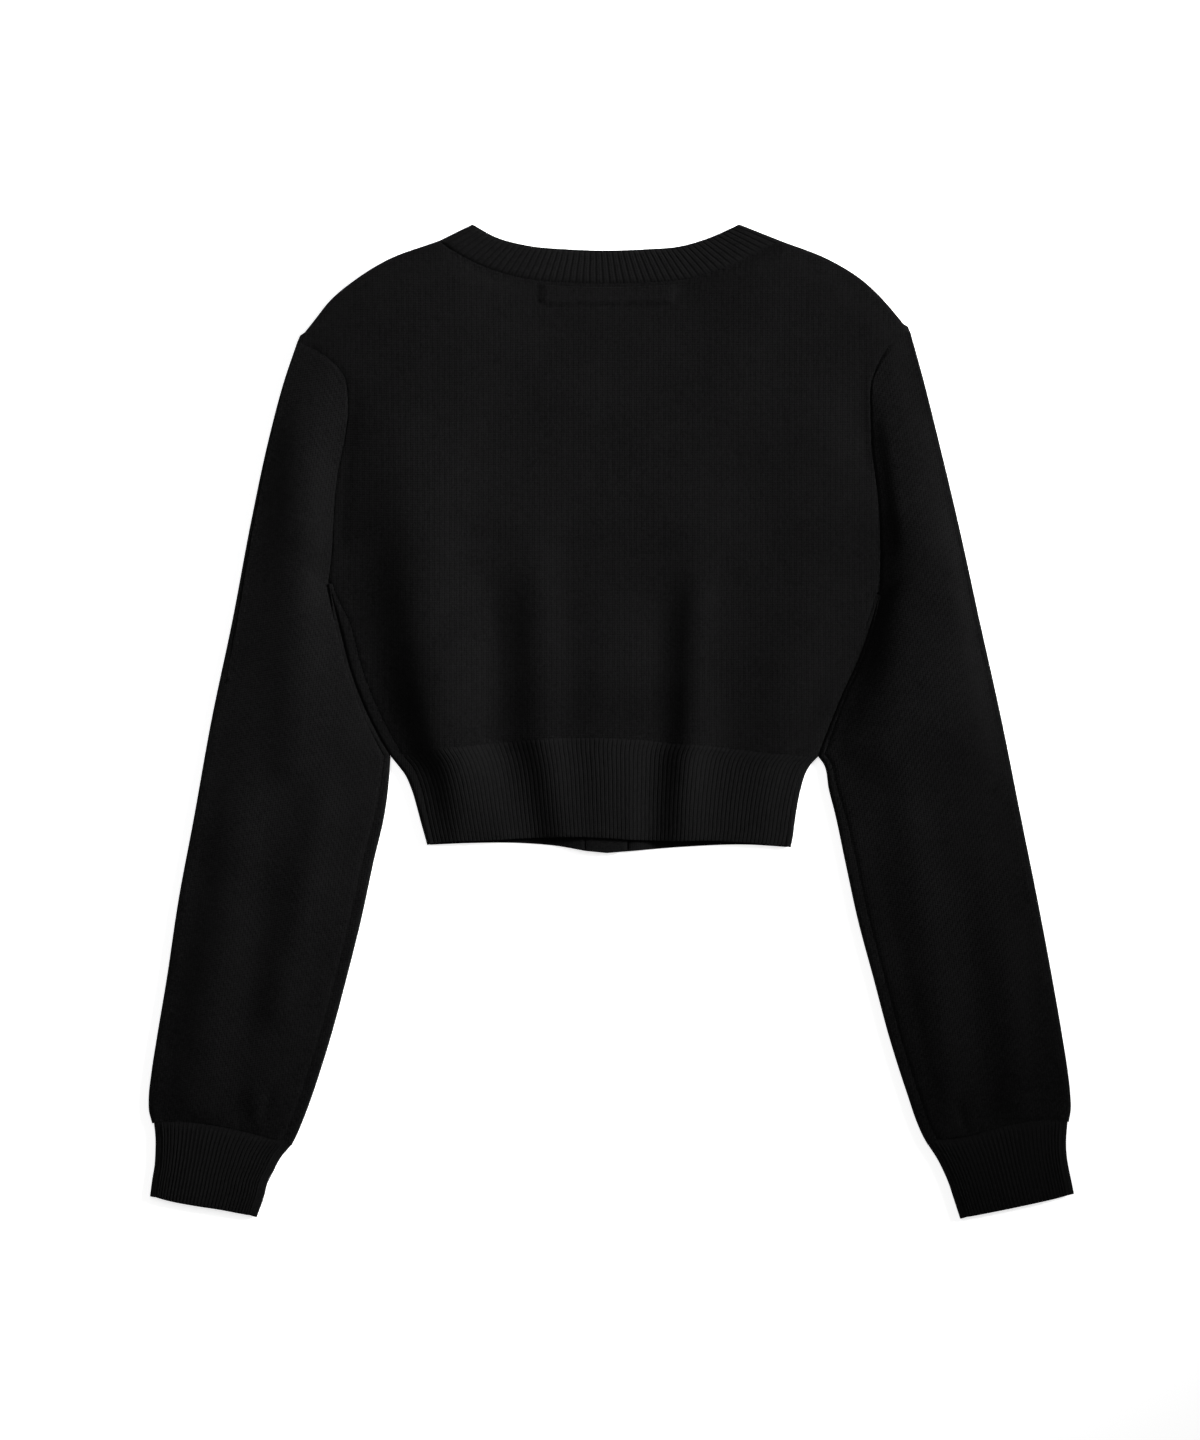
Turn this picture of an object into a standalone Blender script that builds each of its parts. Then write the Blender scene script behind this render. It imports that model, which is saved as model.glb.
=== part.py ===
"""A cropped cardigan lying flat with its back up.

Lengths are in millimetres until the mesh is made. +X is the side of the wearer's right arm, +Y runs from the
hem to the neck, and +Z is up. The front panels lie on the floor with their outer face at z = 0, and the back
panel lies over them. Each panel is a thin wall: outer points on the garment's form, inner points one cloth
thickness inside them.
"""

import math

import bmesh
import bpy
import numpy as np

MM = 0.001

# Cloth
JERSEY = 1.6
RIB_BASE = 1.5
RIB_RAISE = 0.7
BAND_CLOTH = 2.2
SEAM_GAP = 0.3
NECK_GAP = 0.45
EDGE_HEIGHT = 7.0
EDGE_ROUND = 3.2
UNDERARM_ROUND = 0.5
LEAST_ROUND = 0.2
FLAT_INSET = 4.6
LEFT_STRIP = 8.0
RIGHT_STRIP = 3.7
UNDERARM_STRIP = 2.4
SLEEVE_STRIP = 7.5
HEM_STRIP = 4.6
BODY_CROWN = 5.0
SLEEVE_CROWN = 6.0
SLEEVE_LIFT = 0.6
SLEEVE_END_LIFT = 1.5
CUFF_CROWN = 1.2
CUFF_LIFT = 0.3
CUFF_TAPER = 0.6
NECK_FREE_HEIGHT = 4.2

# Lengths over which a panel's upper layer rounds up from its left, right, bottom and top borders
BACK_ROUNDING = (26, 26, 12, 40)
BACK_FOLD_ROUNDING = (14, 14, 0, 30)
JOIN_ROUNDING = 14
SLEEVE_ROUNDING = (16, 18, 30, 20)
SLEEVE_FOLD_ROUNDING = (8, 8, 20, 8)

# Centre front closure
PLACKET_LEFT_X = -17.0
PLACKET_RIGHT_X = 10.0
PLACKET_RISE = 24.0
BUTTON_COUNT = 6
BUTTON_RADIUS = 7.0
BUTTON_THICK = 2.2
BUTTON_FIRST_Y = -78.0
BUTTON_LAST_Y = 246.0
BUTTON_SIDES = 16
BUTTON_PROFILE = [(0.8, 0), (1, 0.3), (1, 0.7), (0.8, 1)]
BAND_BOTTOM = [(-17, -86.7), (-3.5, -88), (10, -86.9)]
BAND_TOP_Y = 257.5
LOWER_BAND_Z = BUTTON_THICK + SEAM_GAP
UPPER_BAND_Z = LOWER_BAND_Z + BAND_CLOTH + SEAM_GAP

# Rib pitch
HEM_RIBS = 90
CUFF_RIBS = 30
NECK_RIBS = 52

# Grid steps
SHOULDER_STEPS = 7
NECK_STEPS = 20
SIDE_STEPS = 7
ARMHOLE_SHARES = (0, 0.17, 0.34, 0.5, 0.65, 0.77, 0.86, 0.93, 1)
CAP_CORNER = 5
SLEEVE_FREE_SHARES = (0, 0.05, 0.16, 0.29, 0.42, 0.55, 0.67, 0.78, 0.87, 0.94, 1)
SLEEVE_ACROSS = 8
SLEEVE_UNDER = 4
FRONT_NECK_STEPS = 8
FRONT_SHOULDER_STEPS = 5
FRONT_HEM_STEPS = 6
HEM_SHARES = (0, 0.28, 0.6, 1)
CUFF_SHARES = (0, 0.25, 0.6, 1)
CUFF_UNDER = 6
CUFF_NEAR = 8
NECK_ACROSS = 2
NECK_SKIP = 2
BAND_STEPS = 6
FOLD_SHARES = (-1, -0.5, 0, 0.5, 1)
CUFF_FOLD_SHARES = (-1, -0.4, 0.4, 1)

# Outlines, each a row of (x, y)
LEFT_SIDE = [(-147.3, -24), (-152.7, -15.3), (-170.7, 22.7), (-183.3, 68.7), (-188.7, 91.3)]
LEFT_ARMHOLE = [(-188.7, 91.3), (-186.7, 107.3), (-184, 147.3), (-181.3, 168.7), (-177.3, 189.3),
                (-175.3, 212), (-178.5, 230), (-192.7, 244.5), (-210, 253)]
LEFT_SHOULDER = [(-210, 253), (-198.7, 267.3), (-188, 280.7), (-172, 294), (-150.7, 307.3), (-114.7, 320.7)]
RIGHT_SIDE = [(137.3, -24), (145.3, -3.3), (154, 18), (164.7, 41.3), (172.7, 64), (178, 84)]
RIGHT_ARMHOLE = [(178, 84), (178.7, 114), (176.7, 152.7), (173.3, 178.7), (172.2, 205), (173, 226),
                 (180.7, 244), (188, 253.3), (199.3, 259)]
RIGHT_SHOULDER = [(199.3, 259), (191.3, 269), (181.3, 280.7), (167.3, 294), (146, 307.3), (112, 320.7)]
BACK_NECK = [(-114.7, 320.7), (-104, 312.7), (-84, 302.7), (-58, 295.3), (-30.7, 292.7), (-4, 292),
             (22, 292.7), (51.3, 295.3), (75.3, 302.7), (92.7, 310.7), (112, 320.7)]
BACK_NECK_TOP = [(-93.3, 331.3), (-77.3, 322.7), (-56.7, 317.3), (-30, 314.8), (-4.7, 314), (22, 314.8),
                 (45.3, 316.7), (66, 322.7), (85.3, 331.3)]
FRONT_NECK_LEFT = [(-17.3, 236), (-40, 240), (-70, 254), (-95, 279), (-108, 303), (-114.7, 320.7)]
FRONT_NECK_LEFT_TOP = [(-17.3, 258), (-34, 261), (-58, 273), (-77, 292), (-87, 310), (-93.3, 331.3)]
FRONT_NECK_RIGHT = [(10.3, 236), (34, 240), (65, 254), (91, 279), (105, 303), (112, 320.7)]
FRONT_NECK_RIGHT_TOP = [(10.3, 258), (28, 261), (52, 273), (70, 292), (80, 310), (85.3, 331.3)]
BACK_JOIN = [(-147.3, -24), (-116, -19), (-83.3, -15.3), (-56.7, -12.7), (-32, -11.3), (-4, -11.3),
             (20.7, -12.7), (41.3, -14.7), (66, -16.7), (100.7, -21), (137.3, -24)]
BACK_HEM = [(-123.3, -82.7), (-114, -80.9), (-83.3, -79.7), (-60, -78.3), (-18.7, -77.3), (10.7, -79),
            (38, -80), (66, -79.8), (92.7, -81.3), (119.3, -84.3)]
FRONT_JOIN_LEFT = [(-17.3, -13), (-60, -14), (-110, -19), (-147.3, -24)]
FRONT_JOIN_RIGHT = [(10.3, -13), (50, -15), (100, -20), (137.3, -24)]
FRONT_HEM_LEFT = [(-17.3, -86.7), (-36, -83.5), (-60, -81.5), (-95, -81.5), (-123.3, -82.7)]
FRONT_HEM_RIGHT = [(10.3, -87), (47.3, -84), (89, -82.5), (119.3, -84.3)]
LEFT_RIB_EDGE = [(-123.3, -82.7), (-124.6, -78), (-127.6, -67.3), (-130.4, -56.7), (-133.6, -46),
                 (-138.4, -35.3), (-142.4, -30), (-147.3, -24)]
RIGHT_RIB_EDGE = [(119.3, -84.3), (120.6, -78), (122, -67.3), (123.6, -56.7), (125.8, -46), (129, -35.3),
                  (131.8, -30), (137.3, -24)]
LEFT_SLEEVE_OUTER = [(-210, 253), (-218.7, 227.3), (-229.3, 187.3), (-240.7, 134), (-253.3, 67.3),
                     (-267.3, 0.7), (-279.3, -66), (-289.3, -119.3), (-297.3, -172.7), (-304, -212.7),
                     (-307.3, -234), (-309.2, -252), (-309, -260), (-306.8, -268.5)]
LEFT_SLEEVE_INNER = [(-147.7, -24), (-149.2, -44), (-151.6, -62), (-158.7, -92.7), (-167.3, -132.7),
                     (-177.3, -172.7), (-188.1, -212.7), (-194.7, -234), (-200, -250), (-206, -266),
                     (-210.5, -276.7), (-214, -283.5)]
RIGHT_SLEEVE_OUTER = [(199.3, 259), (208, 227.3), (218, 187.3), (230.7, 134), (245.3, 67.3), (260, 0.7),
                      (273.3, -66), (284, -119.3), (294, -172.7), (300.9, -212.7), (304.2, -234),
                      (305.9, -250), (306.2, -259), (304.8, -267.5)]
RIGHT_SLEEVE_INNER = [(137.7, -24), (140.8, -28), (144.7, -46), (148.8, -62), (155.3, -92.7), (164, -132.7),
                      (174.7, -172.7), (185.4, -212.7), (192, -234), (197.3, -250), (202.7, -266),
                      (207.3, -276.7), (210.8, -283)]
LEFT_CUFF_OUTER = [(-305.6, -268.5), (-304.7, -277), (-304.7, -287), (-305.3, -296.7), (-306.7, -305),
                   (-308.3, -317)]
LEFT_CUFF_INNER = [(-215, -284), (-222, -292.7), (-226, -300.7), (-230, -308.7), (-232, -316.7),
                   (-237, -331)]
LEFT_CUFF_EDGE = [(-308.3, -317), (-292, -320.7), (-276, -323.5), (-260, -326), (-248, -328.5), (-237, -331)]
LEFT_CUFF_JOIN = [(-305.6, -268.5), (-284, -269.5), (-254, -274), (-232, -279.5), (-215, -284)]
RIGHT_CUFF_OUTER = [(304, -267.5), (303.2, -277), (303.2, -287), (304.5, -296.7), (306.2, -305),
                    (308.3, -315.2)]
RIGHT_CUFF_INNER = [(211.4, -283.5), (217.3, -292.7), (221.3, -300.7), (224.7, -308.7), (227.3, -316.7),
                    (232.3, -332)]
RIGHT_CUFF_EDGE = [(308.3, -315.2), (297.3, -318), (281.3, -321.6), (265.3, -325), (249.3, -328.3),
                   (232.3, -332)]
RIGHT_CUFF_JOIN = [(304, -267.5), (283, -268.5), (264, -272), (240, -278.5), (211.4, -283.5)]

# Heights of the upper layer along its borders, each a row of (share of the border, height)
JOIN_HEIGHTS = [(0, 8), (0.1, 9), (0.42, 10), (0.58, 10), (0.9, 9), (1, 8)]
HEM_HEIGHTS = [(0, 6.8), (0.08, 10), (0.18, 9), (0.27, 7), (0.36, 11.2), (0.46, 10.7), (0.56, 10.4),
               (0.64, 8), (0.71, 10.8), (0.82, 8.6), (0.93, 8.6), (1, 6.8)]
NECK_HEIGHTS = [(0, 7), (0.15, 6.5), (0.5, 5), (0.85, 6.5), (1, 7)]
LEFT_ARMHOLE_HEIGHTS = [(0, 7), (0.12, 10.5), (0.5, 13), (0.85, 11), (1, 7)]
RIGHT_ARMHOLE_HEIGHTS = [(0, 7), (0.12, 8.5), (0.4, 9), (0.75, 9.5), (0.9, 10), (1, 7)]

# Soft ridges (+) and troughs (-) of the upper layer:
# (start x, start y, end x, end y, half width, height, share of the length over which each end fades)
BODY_FOLDS = [
    (-144, 225, -124, -18, 25, 7.0, 0.35),
    (-66, 130, -63, -14, 11, -3.0, 0.6),
    (-50, 150, -38, -14, 13, 5.0, 0.6),
    (-5, 120, -8, -14, 16, 1.5, 0.5),
    (38, 120, 36, -16, 11, -2.5, 0.6),
    (60, 150, 52, -16, 11, 4.6, 0.6),
    (122, 120, 112, -14, 20, 2.2, 0.5),
    (150, 258, 168, 165, 9, -3.0, 0.4),
]
LEFT_SLEEVE_FOLDS = [
    (-205, 225, -222, -20, 17, 3.0, 0.35),
    (-262, 30, -282, -225, 12, 2.6, 0.4),
    (-225, -60, -250, -262, 10, -2.2, 0.4),
    (-180, -60, -232, -255, 10, 2.6, 0.35),
    (-272, -215, -276, -266, 7, -2.0, 0.5),
    (-238, -240, -236, -275, 6, 1.8, 0.5),
]
RIGHT_SLEEVE_FOLDS = [
    (190, 225, 200, 130, 9, 3.0, 0.4),
    (181, 150, 168, 20, 12, -3.5, 0.4),
    (214, 110, 190, -60, 16, 3.0, 0.4),
    (228, -70, 248, -262, 12, -2.2, 0.4),
    (196, -70, 222, -250, 11, 2.2, 0.35),
    (256, -215, 262, -266, 7, 2.2, 0.5),
    (232, -235, 234, -272, 6, -1.8, 0.5),
]


def ease(x):
    """0 to 1 with no slope at either end."""
    x = np.clip(x, 0.0, 1.0)
    return x * x * (3 - 2 * x)


def run_along(grid):
    """Distance from the first point of each line, along the first axis of a grid of points."""
    steps = np.linalg.norm(np.diff(grid, axis=0), axis=-1)
    return np.concatenate([np.zeros((1,) + steps.shape[1:]), np.cumsum(steps, axis=0)])


def smooth_line(points, shares):
    """Points of the smooth curve through the given ones, at these shares of its length."""
    p = np.array(points, float)
    at = run_along(p)
    steps = np.diff(at)
    slope = np.gradient(p, at, axis=0)
    t = np.linspace(0, at[-1], 60 * len(p))
    i = np.clip(np.searchsorted(at, t, side="right") - 1, 0, len(steps) - 1)
    h = steps[i][:, None]
    x = ((t - at[i]) / steps[i])[:, None]
    fine = (
        (1 + 2 * x) * (1 - x) ** 2 * p[i]
        + x * (1 - x) ** 2 * h * slope[i]
        + x * x * (3 - 2 * x) * p[i + 1]
        + x * x * (x - 1) * h * slope[i + 1]
    )
    run = run_along(fine)
    want = np.asarray(shares) * run[-1]
    return np.column_stack([np.interp(want, run, fine[:, 0]), np.interp(want, run, fine[:, 1])])


def even(steps):
    return np.linspace(0, 1, steps + 1)


def heights(table, shares):
    """A smooth run of heights through a table of (share, height)."""
    at, value = np.array(table, float).T
    i = np.clip(np.searchsorted(at, shares, side="right") - 1, 0, len(at) - 2)
    x = ease((shares - at[i]) / (at[i + 1] - at[i]))
    return value[i] + (value[i + 1] - value[i]) * x


def fill(bottom, top, left, right, u, v, keep=1.0):
    """The patch between four borders. bottom and top run along u, left and right along v. The higher keep
    is, the nearer to its own border the bend of a side border stays."""
    v = v[:, None]
    bend_left = left - (bottom[0] + (top[0] - bottom[0]) * v)
    bend_right = right - (bottom[-1] + (top[-1] - bottom[-1]) * v)
    u = u[None, :, None]
    across = bottom[None] + (top - bottom)[None] * v[:, None]
    return across + (1 - u) ** keep * bend_left[:, None] + u**keep * bend_right[:, None]


def fold_relief(plan, folds):
    """The height that the ridges and troughs add at each plan point."""
    total = np.zeros(plan.shape[:-1])
    for x0, y0, x1, y1, half_width, height, fade in folds:
        start = np.array([x0, y0])
        run = np.array([x1, y1]) - start
        share = (plan - start) @ run / (run @ run)
        nearest = start + np.clip(share, 0, 1)[..., None] * run
        off = np.linalg.norm(plan - nearest, axis=-1)
        window = ease(share / fade + 0.15) * ease((1 - share) / 0.2 + 1)
        total += height * np.exp(-((off / half_width) ** 2)) * window
    return total


def distance_in(grid, axis, from_end):
    """How far each point lies from the border, along its own grid line."""
    g = np.moveaxis(grid, axis, 0)
    g = g[::-1] if from_end else g
    run = run_along(g)
    run = run[::-1] if from_end else run
    return np.moveaxis(run, 0, axis)


def unit(vectors):
    return vectors / np.linalg.norm(vectors, axis=-1)[..., None]


def inward(line, inside):
    """Unit normals of a plan line, all on the side where the point inside lies from its first point."""
    along = unit(np.gradient(line, axis=0))
    normal = np.column_stack([-along[:, 1], along[:, 0]])
    first = np.broadcast_to(inside, line.shape)[0] - line[0]
    return normal * np.sign(normal[0] @ first)


def with_height(plan, z):
    return np.concatenate([plan, np.asarray(z)[..., None]], axis=-1)


def wall(name, outer, inner, closed, material):
    """One closed solid between an outer and an inner grid of points."""
    rows, columns = outer.shape[:2]
    mesh = bmesh.new()
    grids = []
    for grid in (outer, inner):
        grids.append([[mesh.verts.new(point * MM) for point in row] for row in grid])
    wraps = columns if closed else columns - 1
    for i in range(rows - 1):
        for j in range(wraps):
            k = (j + 1) % columns
            for g in grids:
                mesh.faces.new((g[i][j], g[i][k], g[i + 1][k], g[i + 1][j]))
    top, under = grids
    for i in (0, rows - 1):
        for j in range(wraps):
            k = (j + 1) % columns
            mesh.faces.new((top[i][j], top[i][k], under[i][k], under[i][j]))
    if not closed:
        for j in (0, columns - 1):
            for i in range(rows - 1):
                mesh.faces.new((top[i][j], top[i + 1][j], under[i + 1][j], under[i][j]))
    bmesh.ops.triangulate(mesh, faces=mesh.faces[:])
    bmesh.ops.recalc_face_normals(mesh, faces=mesh.faces[:])
    return add_object(name, mesh, material)


def add_object(name, mesh, material):
    data = bpy.data.meshes.new(name)
    mesh.to_mesh(data)
    mesh.free()
    data.shade_smooth()
    data.set_sharp_from_angle(angle=math.radians(50))
    data.materials.append(material)
    made = bpy.data.objects.new(name, data)
    bpy.context.scene.collection.objects.link(made)
    return made


def make_material(name, colour, roughness):
    material = bpy.data.materials.new(name)
    material.use_nodes = True
    shader = material.node_tree.nodes["Principled BSDF"]
    shader.inputs["Base Color"].default_value = (*colour, 1)
    shader.inputs["Roughness"].default_value = roughness
    shader.inputs["Metallic"].default_value = 0.0
    return material


def curl(edge, into, height, radius, shares, depth):
    """Points round a folded edge. shares run from -1 on the floor, over 0 on the outline, to 1 on the top.
    depth is 0 for the outer face and the cloth's thickness for the inner one."""
    angle = np.asarray(shares) * math.pi / 2
    inner = np.maximum(np.asarray(radius) - depth, LEAST_ROUND)
    inset = depth + inner[:, None] * (1 - np.cos(angle))[None]
    z = depth + (height - 2 * depth)[:, None] * (1 + np.sin(angle))[None] / 2
    plan = edge[:, None] + inset[..., None] * into[:, None]
    return with_height(plan, z)


def even_curl(edge, into, shares, depth):
    """A fold of the usual height and roundness all along its edge."""
    count = len(edge)
    return curl(edge, into, np.full(count, EDGE_HEIGHT), np.full(count, EDGE_ROUND), shares, depth)


def rise_of(plan, side):
    """How far the underside of a front piece is lifted by the buttons and bands beside it."""
    away = np.abs(plan[..., 0] - side.placket_x) / PLACKET_RISE
    return side.placket_z * ease(1 - away)


class Side:
    """The outlines and sizes of one half of the garment."""

    def __init__(self, name, **values):
        self.name = name
        self.__dict__.update(values)
        self.side = smooth_line(self.side_line, even(SIDE_STEPS))
        self.armhole = smooth_line(self.armhole_line, ARMHOLE_SHARES)
        self.edge = np.concatenate([self.side, self.armhole[1:]])
        self.into = inward(self.edge, (0, 60))
        self.into[0] = self.join_into
        row = np.arange(len(self.edge))
        self.near = ease((SIDE_STEPS - row) / 2)
        self.radius = UNDERARM_ROUND + (EDGE_ROUND - UNDERARM_ROUND) * self.near
        strip = UNDERARM_STRIP + (self.strip_width - UNDERARM_STRIP) * self.near
        strip = np.where(row <= SIDE_STEPS, strip, 0)
        self.seam = self.edge + self.into * strip[:, None]
        arm = heights(self.armhole_heights, np.array(ARMHOLE_SHARES))
        low = np.full(SIDE_STEPS, EDGE_HEIGHT) + self.near[:SIDE_STEPS]
        self.seam_height = np.concatenate([low, arm])


LEFT = Side(
    "left",
    side_line=LEFT_SIDE,
    armhole_line=LEFT_ARMHOLE,
    shoulder_line=LEFT_SHOULDER,
    strip_width=LEFT_STRIP,
    join_into=unit(np.subtract(BACK_JOIN[1], BACK_JOIN[0])),
    armhole_heights=LEFT_ARMHOLE_HEIGHTS,
    placket_x=PLACKET_LEFT_X,
    placket_z=UPPER_BAND_Z,
    neck_line=FRONT_NECK_LEFT,
    neck_top=FRONT_NECK_LEFT_TOP,
    join_line=FRONT_JOIN_LEFT,
    hem_line=FRONT_HEM_LEFT,
    rib_edge=LEFT_RIB_EDGE,
    rib_strips=(LEFT_STRIP, HEM_STRIP),
    sleeve_outer=LEFT_SLEEVE_OUTER,
    sleeve_inner=LEFT_SLEEVE_INNER,
    sleeve_folds=LEFT_SLEEVE_FOLDS,
    cuff_outer=LEFT_CUFF_OUTER,
    cuff_inner=LEFT_CUFF_INNER,
    cuff_edge=LEFT_CUFF_EDGE,
    cuff_join=LEFT_CUFF_JOIN,
)
RIGHT = Side(
    "right",
    side_line=RIGHT_SIDE,
    armhole_line=RIGHT_ARMHOLE,
    shoulder_line=RIGHT_SHOULDER,
    strip_width=RIGHT_STRIP,
    join_into=unit(np.subtract(BACK_JOIN[-2], BACK_JOIN[-1])),
    armhole_heights=RIGHT_ARMHOLE_HEIGHTS,
    placket_x=PLACKET_RIGHT_X,
    placket_z=LOWER_BAND_Z,
    neck_line=FRONT_NECK_RIGHT,
    neck_top=FRONT_NECK_RIGHT_TOP,
    join_line=FRONT_JOIN_RIGHT,
    hem_line=FRONT_HEM_RIGHT,
    rib_edge=RIGHT_RIB_EDGE,
    rib_strips=(RIGHT_STRIP, HEM_STRIP),
    sleeve_outer=RIGHT_SLEEVE_OUTER,
    sleeve_inner=RIGHT_SLEEVE_INNER,
    sleeve_folds=RIGHT_SLEEVE_FOLDS,
    cuff_outer=RIGHT_CUFF_OUTER,
    cuff_inner=RIGHT_CUFF_INNER,
    cuff_edge=RIGHT_CUFF_EDGE,
    cuff_join=RIGHT_CUFF_JOIN,
)


def rounding(distance, reach):
    """0 at a border, rising to 1 over about this reach."""
    return 1 - np.exp(-((distance / reach) ** 1.5))


def crown_over(plan, reaches):
    """0 at the borders and 1 inside. reaches gives the rounding length for left, right, bottom and top."""
    share = np.ones(plan.shape[:2])
    for axis, from_end, reach in (
        (1, False, reaches[0]),
        (1, True, reaches[1]),
        (0, False, reaches[2]),
        (0, True, reaches[3]),
    ):
        if reach:
            share = share * rounding(distance_in(plan, axis, from_end), reach)
    return share


def fold_heights(line):
    """The ridges and troughs where they run out of the back into its hem band."""
    keep = rounding(distance_in(line, 0, False), JOIN_ROUNDING)
    keep = keep * rounding(distance_in(line, 0, True), JOIN_ROUNDING)
    return fold_relief(line, BODY_FOLDS) * keep


def join_top(line, shares):
    return heights(JOIN_HEIGHTS, shares) + fold_heights(line)


def back_join(shares):
    """The line where the back meets its hem band, from side seam to side seam."""
    return smooth_line([LEFT.seam[0], *BACK_JOIN[1:-1], RIGHT.seam[0]], shares)


def make_back(cloth):
    """The back: armhole to armhole and from the hem join to the shoulders and neck."""
    columns = 2 * SHOULDER_STEPS + NECK_STEPS
    u = even(columns)
    v = np.arange(len(LEFT.edge)) / (len(LEFT.edge) - 1)
    shoulder = even(SHOULDER_STEPS)
    top = np.concatenate(
        [
            smooth_line(LEFT_SHOULDER, shoulder)[:-1],
            smooth_line(BACK_NECK, even(NECK_STEPS)),
            smooth_line(RIGHT_SHOULDER[::-1], shoulder)[1:],
        ]
    )
    bottom = back_join(u)
    plan = fill(bottom, top, LEFT.seam, RIGHT.seam, u, v, 2.0)
    row = np.arange(columns + 1)
    at_neck = (row > SHOULDER_STEPS) & (row < columns - SHOULDER_STEPS)
    neck = heights(NECK_HEIGHTS, np.clip((row - SHOULDER_STEPS) / NECK_STEPS, 0, 1))
    top_height = np.where(at_neck, neck, EDGE_HEIGHT)
    border = fill(
        join_top(bottom, u)[:, None],
        top_height[:, None],
        LEFT.seam_height[:, None],
        RIGHT.seam_height[:, None],
        u,
        v,
    )[..., 0]
    z = border + BODY_CROWN * crown_over(plan, BACK_ROUNDING)
    z = z + fold_relief(plan, BODY_FOLDS) * crown_over(plan, BACK_FOLD_ROUNDING)
    z[0] = join_top(bottom, u)
    into = unit(plan[-2] - plan[-1])
    grids = []
    for depth in (0, JERSEY):
        body = with_height(plan[:-1], z[:-1] - depth)
        rim = even_curl(plan[-1], into, (1, 0.5, SEAM_GAP / EDGE_HEIGHT), depth)
        straight = plan[-1][:, None] + into[:, None] * np.array([1, 0.5, 0])[None, :, None] * EDGE_ROUND
        flat = with_height(straight, np.repeat((top_height - depth)[:, None], 3, axis=1))
        rim = np.where(at_neck[:, None, None], flat, rim)
        grids.append(np.concatenate([body, np.swapaxes(rim, 0, 1)]))
    outer, inner = grids
    for grid in grids:
        grid[0, :, 1] += SEAM_GAP / 2
    return wall("back_body", outer, inner, False, cloth)


def wrapped(edge, into, radius, seam, seam_height, closed_rows, depth):
    """The last columns of a lower panel: round the folded edge to the seam where the edge is closed, and
    flat to the outline where it is open."""
    count = len(edge)
    round_it = curl(edge, into, np.full(count, EDGE_HEIGHT), radius, FOLD_SHARES, depth)
    at_seam = with_height(seam, seam_height - depth)[:, None]
    folded = np.concatenate([round_it, at_seam], axis=1)
    steps = folded.shape[1]
    insets = FLAT_INSET * (1 - np.arange(1, steps + 1) / steps)
    flat = edge[:, None] + into[:, None] * insets[None, :, None]
    flat = with_height(flat, np.full((count, steps), float(depth)))
    return np.where(closed_rows[:, None, None], folded, flat)


def make_front(side, cloth):
    """One front: from the button band to the side seam, which lies a little way round on the back."""
    columns = FRONT_NECK_STEPS + FRONT_SHOULDER_STEPS
    u = even(columns)
    rows = len(side.edge)
    v = np.arange(rows) / (rows - 1)
    flat_edge = side.edge + side.into * FLAT_INSET
    top = np.concatenate(
        [
            smooth_line(side.neck_line, even(FRONT_NECK_STEPS))[:-1],
            smooth_line(side.shoulder_line[::-1], even(FRONT_SHOULDER_STEPS)),
        ]
    )
    top[-1] = side.edge[-1] + side.into[-1] * FLAT_INSET
    bottom = smooth_line(side.join_line, u)
    bottom[-1] = flat_edge[0]
    centre = np.column_stack([np.full(rows, top[0, 0]), bottom[0, 1] + (top[0, 1] - bottom[0, 1]) * v])
    plan = fill(bottom, top, centre, flat_edge, u, v, 3.0)
    closed_rows = np.arange(rows) <= SIDE_STEPS
    gap = side.into * SEAM_GAP
    seam = side.seam - gap * closed_rows[:, None]
    column = np.arange(columns + 1 + len(FOLD_SHARES) + 1)
    on_shoulder = column >= FRONT_NECK_STEPS
    grids = []
    for depth in (0, JERSEY):
        flat = with_height(plan, rise_of(plan, side) + depth)
        turn = wrapped(side.edge, side.into, side.radius, seam, side.seam_height, closed_rows, depth)
        grid = np.concatenate([flat, turn], axis=1)
        last = grid[-1, :, :2]
        last_into = unit(grid[-2, :, :2] - last)
        rim = even_curl(last, last_into, (-1, -0.5, -SEAM_GAP / EDGE_HEIGHT), depth)
        straight = last[:, None] + last_into[:, None] * np.array([1, 0.5, 0])[None, :, None] * EDGE_ROUND
        flat_rim = with_height(straight, rise_of(straight, side) + depth)
        rim = np.where(on_shoulder[:, None, None], rim, flat_rim)
        grids.append(np.concatenate([grid[:-1], np.swapaxes(rim, 0, 1)]))
    for grid in grids:
        grid[0, :, 1] += SEAM_GAP / 2
    return wall(side.name + "_front", grids[0], grids[1], False, cloth)


def along_polyline(points, shares):
    """Points of the straight-sided line, at these shares of its length. Any number of coordinates."""
    run = run_along(points[:, :2])
    want = np.asarray(shares) * run[-1]
    return np.column_stack([np.interp(want, run, points[:, k]) for k in range(points.shape[1])])


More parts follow.
